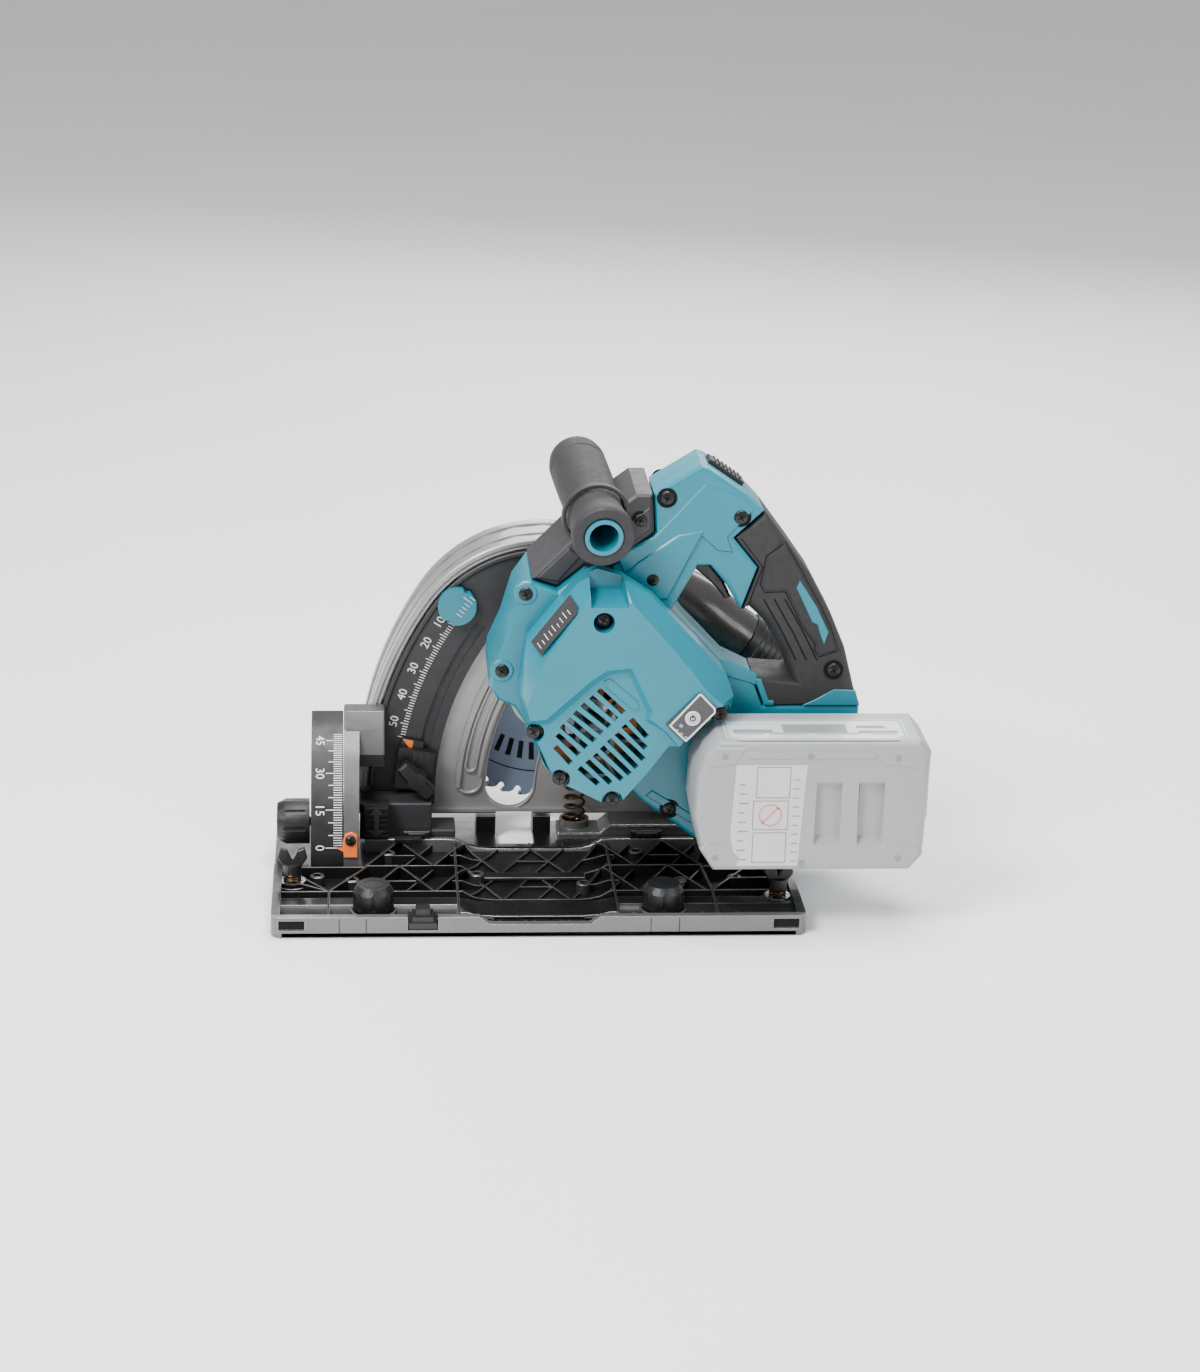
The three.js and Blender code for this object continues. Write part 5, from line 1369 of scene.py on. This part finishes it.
def base_plate():
    outline = arc(-HALF + 6, NEAR_EDGE + 6, 6, 180, 270, 6) + arc(HALF - 6, NEAR_EDGE + 6, 6, 270, 360, 6)
    outline += arc(HALF - 18, FAR_EDGE - 18, 18, 0, 90, 8) + arc(-HALF + 10, FAR_EDGE - 10, 10, 90, 180, 6)
    skin = Build().prism(outline, 0, SKIN, along_z)
    groove = Build().box(-160, 160, RAIL_Y - 8, RAIL_Y + 8, -2, 3.4)
    gap = Build().box(-19, 3, FLANGE_Y + 12, 80, -2, 20)
    skin.object("base_skin", "base", M["base_metal"], 0.35, 2, replaces=["base_plate"],
                cuts=[groove, gap])
    band = Build()
    rings = []
    for x in (-147, -120, -46, -40, -34, -26, 26, 34, 40, 46, 120, 147):
        top = dip(x)
        section = [(-84, 2), (-81, 6.5), (-76, 9.4), (-66, 9.4), (-61, 6.5), (-58, 2), (-62.9, 2),
                   (-62.9, 3.45), (-79.1, 3.45), (-79.1, 2)]
        rings.append([(x, y, min(z, top)) for y, z in section])
    band.loft(rings)
    band.object("base_rail_band", "base", M["base_metal"], 0.3, 2)
    base_ribs().object("base_rib_lattice", "base", M["base_metal"], 0.32, 2)
    flange = Build()
    bar(flange, -98, FLANGE_Y + 2, 98, FLANGE_Y + 2, RIB_TOP + 0.6, 5.2)
    for x0, x1 in ((-80, -55), (55, 84)):
        bar(flange, x0, FLANGE_Y + 9, x1, FLANGE_Y + 9, 8.6, 3.0)
        bar(flange, x0, FLANGE_Y + 2, x0, FLANGE_Y + 9, 8.6, 3.0)
        bar(flange, x1, FLANGE_Y + 2, x1, FLANGE_Y + 9, 8.6, 3.0)
    flange.object("base_flange_rail", "base", M["satin_grey"], 0.5, 3)
    rim = Build()
    path = [(-HALF, -22, 1, 0), (-HALF, -60, 1, 0), (-HALF, NEAR_EDGE + 6, 1, 0)]
    for turn in (198, 216, 234, 252):
        x, y = polar(-HALF + 6, NEAR_EDGE + 6, 6, turn)
        path.append((x, y, -math.cos(math.radians(turn)), -math.sin(math.radians(turn))))
    for x in (-HALF + 6, -60, -34, -28, 28, 34, 60, HALF - 6):
        path.append((x, NEAR_EDGE, 0, 1))
    for turn in (288, 306, 324, 342):
        x, y = polar(HALF - 6, NEAR_EDGE + 6, 6, turn)
        path.append((x, y, -math.cos(math.radians(turn)), -math.sin(math.radians(turn))))
    path += [(HALF, NEAR_EDGE + 6, -1, 0), (HALF, -60, -1, 0), (HALF, -22, -1, 0)]
    rim_section(rim, path, rim_top)
    slot = Build().box(-74, -57, NEAR_EDGE - 1, NEAR_EDGE + 18, SKIN + 1, RIM_TOP + 1)
    for x0, x1 in RIM_RECESSES:
        slot.box(x0, x1, NEAR_EDGE - 1, NEAR_EDGE + 1.4, 4.2, 10.0)
    rim.object("base_rim", "base", M["base_metal"], 0.45, 3, M["silver_edge"], cuts=[slot])
    extra = Build()
    extra.box(-150, -146, -30, FAR_EDGE - 12, 2, 7)
    extra.box(148.4, 150, -30, FAR_EDGE - 20, 2, 6)
    for x0, x1 in ((-31, -19), (3, 14)):
        extra.box(x0, x1, 47, 61, 2, 13.5)
    for x, y in ((-139, -41), (137.5, -65.5)):
        extra.turned([(3.1, 2), (9.5, 2), (9.5, 7.9), (8.6, 8.1), (3.1, 8.1)], (x, y, 0), (0, 0, 1), 36)
    for x in (-93, 70.5):
        extra.turned([(3.1, 2), (13.5, 2), (13.5, 8.0), (12.9, 8.4), (3.1, 8.4)], (x, -78, 0), (0, 0, 1), 40)
    extra.object("base_seats", "base", M["base_metal"], 0.3, 2)


# ---------------------------------------------------------------- base details
def base_details():
    dark = Build()
    # dark sheets inside the rim recesses: painted shade
    for x0, x1 in RIM_RECESSES:
        dark.box(x0 + 0.4, x1 - 0.4, -98.9, -98.3, 4.6, 9.6)
    dark.object("rim_recess_shade", "base", M["deep_black"], 0.1)
    lines = Build()
    for x in (-112, -97, 62, 78):
        lines.box(x - 0.25, x + 0.25, -100, -99.7, 1, 11.2)
    lines.object("rim_lines", "base", M["bright_edge"], 0.05)
    blocks = Build()
    for x0, x1 in ((-75, -59), (60, 79)):
        blocks.plate([(x0, 10.2), (x1, 10.2), (x1, 15.4), (x0, 15.4)], 23.5, 18.2, 0.8)
        blocks.plate([(x0 + 3, 11.2), (x1 - 3, 11.2), (x1 - 3, 14.4), (x0 + 3, 14.4)], 18.8, 17.4, 0.5)
    blocks.object("guide_blocks", "base", M["black_plastic"], 0.3, 2)
    bosses = Build()
    for x, y in ((-125, -32), (-105, -38), (-33, -30), (28, -44), (84, -40), (116, -36), (-84, 2),
                 (62, 4), (104, 2)):
        bosses.turned([(0, 2), (4.4, 2), (4.2, 8.6), (3.4, 9.2), (2.2, 9.2), (2.2, 6.0), (0, 6.0)],
                      (x, y, 0), (0, 0, 1), 28)
    bosses.object("base_bosses", "base", M["black_casting"], 0.2)
    guide = Build()
    guide.box(-30, 30, -30.2, -22.2, 4.4, 6.2)
    guide.box(-26, 26, -88, -85.8, 4.6, 7.2)
    guide.object("base_channel_ribs", "base", M["base_metal"], 0.5, 3, M["bright_edge"])


def slider_arrows():
    arrow = Build()
    cx, cz = -91.0, 23.4
    arrow.prism([(cx - 1.6, cz - 5), (cx - 4.4, cz - 5), (cx, cz - 9.4), (cx + 4.4, cz - 5),
                 (cx + 1.6, cz - 5), (cx + 1.6, cz + 5), (cx + 4.4, cz + 5), (cx, cz + 9.4),
                 (cx - 4.4, cz + 5), (cx - 1.6, cz + 5)], 11.9, 12.8)
    arrow.object("release_arrow", "bevel_release_body", M["charcoal_plastic"], 0.2)


# ---------------------------------------------------------------- battery
def battery_top_label():
    outline = [(101, -90), (108, -95), (196, -95), (203, -88), (203, -62), (101, -62)]
    film = Build().prism(outline, 114.9, 115.15, along_z)
    film.object("battery_top_label", "battery", M["pale_label"], 0.05)
    edge = Build()
    edge.loft([[(x, y, z) for x, y in ring] for ring, z in (
        (inset(outline, 1.0), 115.1), (inset(outline, 1.0), 115.3), (inset(outline, 2.0), 115.3),
        (inset(outline, 2.0), 115.1))], closed=True)
    edge.object("battery_label_edge", "battery", M["faded_teal"])
    bands = Build()
    for x0, x1, y0, y1 in ((106, 128, -84, -78), (134, 170, -84, -70), (176, 198, -84, -80),
                           (176, 192, -76, -72)):
        bands.box(x0, x1, y0, y1, 115.1, 115.26)
    bands.object("battery_label_bands", "battery", M["battery_grey"])


def battery_details():
    band = Build()
    band.plate([(112, 104.6), (184, 104.6), (184, 109.2), (112, 109.2)], -96.0, -98.5, 0.8)
    band.object("battery_top_band", "battery", M["pale_plastic"], 0.3, 2)
    facets = Build()
    corners = [[(91, 103), (95, 111.6), (112, 111.6), (106, 101.6), (93, 99.5)],
               [(187, 101.6), (183, 110), (206, 110), (213, 105), (212, 98)],
               [(87.5, 52), (92, 55.6), (104, 53.6), (111, 46), (108, 40.4), (95.5, 40.4)],
               [(186, 50), (192, 56), (210, 54), (211.6, 49), (205, 40.6), (188, 40.6)]]
    for outline in corners:
        facets.plate(outline, -96.0, -98.6, 0.9)
    facets.object("battery_corner_facets", "battery", M["pale_plastic"], 0.4, 3)
    label = Build()
    label.prism([(106.5, 101.6), (146, 101.6), (143, 41.6), (108, 41.6), (104.5, 60)], -97.9, -98.2)
    label.object("battery_label", "battery", M["pale_label"])
    boxes = Build()
    for x0, x1, z0, z1 in ((118, 137, 82, 100.6), (116.5, 136.5, 63, 80.6), (117, 136, 43.4, 61.6)):
        ring = rectangle(x0, z0, x1, z1)
        boxes.loft([[(x, -98.1, z) for x, z in ring], [(x, -98.32, z) for x, z in ring],
                    [(x, -98.32, z) for x, z in inset(ring, 0.5)],
                    [(x, -98.1, z) for x, z in inset(ring, 0.5)]], closed=True)
    for n in range(9):
        boxes.prism(rectangle(108.6, 45 + 5.6 * n, 114.4 - (n % 3) * 1.3, 45.7 + 5.6 * n), -98.1, -98.32)
    for n in range(10):
        boxes.prism(rectangle(138.6, 44 + 5.4 * n, 142.4, 44.6 + 5.4 * n), -98.1, -98.32)
    boxes.object("battery_label_lines", "battery", M["battery_grey"])
    ban = Build()
    ban.ring(5.6, 6.8, 98.1, 98.34, (126.5, 0, 71.8), NEAR, 40)
    ban.prism([(121.6, 67.6), (122.5, 66.8), (131.4, 76), (130.5, 76.8)], -98.1, -98.34)
    ban.object("battery_label_ban", "battery", M["faded_red"])
    spots = [(100, 106.6), (196.5, 105.6), (96.5, 46.5), (199.5, 46), (147.5, 106.8), (145.5, 42.6)]
    holes = Build()
    for x, z in spots:
        holes.prism(circle(x, z, 1.9, 20), -98.2, -98.66)
    holes.object("battery_screw_holes", "battery", M["battery_grey"])
    rows = Build()
    for x0, x1 in ((108, 122), (126, 148), (152, 176), (182, 196)):
        rows.box(x0, x1, -86, -83, 114.2, 115.4)
    rows.object("battery_top_ribs", "battery", M["pale_plastic"], 0.3, 2)
    # grey bars at the battery side vents: painted shade in the vent slots
    vents = Build()
    for z in (56, 61, 66, 88, 93, 98):
        vents.box(214.2, 215.4, -80, -66, z, z + 2.2)
    vents.object("battery_vent_slot_shade", "battery", M["battery_grey"], 0.2)


# ---------------------------------------------------------------- the blade side and the back
FAR_SIDE = (0, 1, 0)


def far_side():
    rim = Build()
    outline = case_outline(0.0, 31.0)
    path = [(x, 92.4, z) for x, z in inset(outline, 7.0)]
    rim.tube(path[1:-2], 0.9, 8)
    rim.tube([(x, 92.4, z) for x, z in arc(BLADE_X, BLADE_Z, 46, -30, 210, 50)], 0.9, 8)
    rim.object("case_cover_beads", "tilt_frame", M["silver_paint"])
    places = [(-86, 50), (-70, 118), (-14, 176), (52, 168), (84, 112), (118, 44), (20, 40)]
    screws("case_cover_screws", "tilt_frame", [((x, 92.1, z), FAR_SIDE, 20 + 31 * i)
                                               for i, (x, z) in enumerate(places)], 3.6, 5.0)
    cap = Build()
    cap.ring(24.6, 27.4, 93.2, 94.1, (BLADE_X, 0, BLADE_Z), FAR_SIDE, 48)
    cap.ring(7.0, 8.4, 93.2, 94.1, (BLADE_X, 0, BLADE_Z), FAR_SIDE, 6)
    cap.object("spindle_cover", "tilt_frame", M["black_plastic"], 0.3, 2)
    arrow = Build()
    band = arc(BLADE_X, BLADE_Z, 38.5, 140, 60, 24) + arc(BLADE_X, BLADE_Z, 35.5, 60, 140, 24)
    arrow.prism(band, 92.1, 92.7)
    tip = [polar(BLADE_X, BLADE_Z, 41.5, 60), polar(BLADE_X, BLADE_Z, 37, 51),
           polar(BLADE_X, BLADE_Z, 32.5, 60)]
    arrow.prism(tip, 92.1, 92.7)
    arrow.object("rotation_arrow", "tilt_frame", M["charcoal_plastic"], 0.15)
    label = Build()
    label.prism(rectangle(-52, 58, -22, 78), 92.15, 92.32)
    label.object("case_label", "tilt_frame", M["label_film"])
    rows = Build()
    for n in range(5):
        rows.prism(rectangle(-49.5, 61 + 3.1 * n, -30 + (n % 3) * 2.0, 62 + 3.1 * n), 92.3, 92.38)
    rows.object("case_label_rows", "tilt_frame", M["white_print"])
    # dark bars at the far-side vents: painted shade in the vent openings
    back = Build()
    for n in range(7):
        back.prism([(68, 150 + 5.0 * n), (80 - 0.5 * n, 150 + 5.0 * n), (80 - 0.5 * n, 152.2 + 5.0 * n),
                    (68, 152.2 + 5.0 * n)], 1.9, 2.25)
    back.object("body_vent_shade_far", "head", M["deep_black"], 0.05)
    far_screws = [(69, 237.2), (110.8, 226.4), (62.5, 189.9), (167.2, 136.6), (100, 110), (150, 60)]
    screws("body_far_screws", "head", [((x, 2.35, z), FAR_SIDE, 10 + 29 * i)
                                       for i, (x, z) in enumerate(far_screws)], 4.0, 5.5)


def hose_outlet():
    ridges = Build()
    origin = (97, 66.5, 139)
    axis = (0.83, 0, -0.558)
    ridges.turned([(17.0, -20), (19.0, -20), (20.6, -8), (20.9, 4), (19.8, 15), (18.6, 23), (18.5, 33),
                   (17.0, 33)], origin, axis, 56)
    ridges.object("nozzle_bulge", "tilt_frame", M["dark_metal"])
    rings = Build()
    for h in (46, 50, 54, 58):
        rings.ring(16.8, 17.9, h, h + 1.4, origin, axis, 40)
    rings.object("connector_rings", "tilt_frame", M["black_plastic"], 0.3, 2)


def knob_caps():
    for name, x in (("front", -93), ("rear", 70.5)):
        cap = Build().turned([(0, 13.9), (7.6, 13.9), (8.4, 13.2), (8.4, 12.6), (0, 12.6)],
                             (x, -78, 9), (0, 0, 1), 36)
        cap.ring(5.4, 6.2, 13.7, 14.25, (x, -78, 9), (0, 0, 1), 36)
        cap.object(name + "_rail_knob_cap", name + "_rail_knob_body", M["black_plastic"], 0.15, 2)


for detail in (motor_cover, cover_label_plate, grille_badge, panel_box, head_screws, body_plates,
               rear_grip, front_handle, bracket_details, lock_off_ribs, case_rim, case_ribs, base_plate,
               depth_ticks, depth_pointer, bevel_scale, saw_blade, return_spring, corner_springs,
               base_details, slider_arrows, battery_top_label, battery_details, far_side,
               hose_outlet, knob_caps):
    detail()
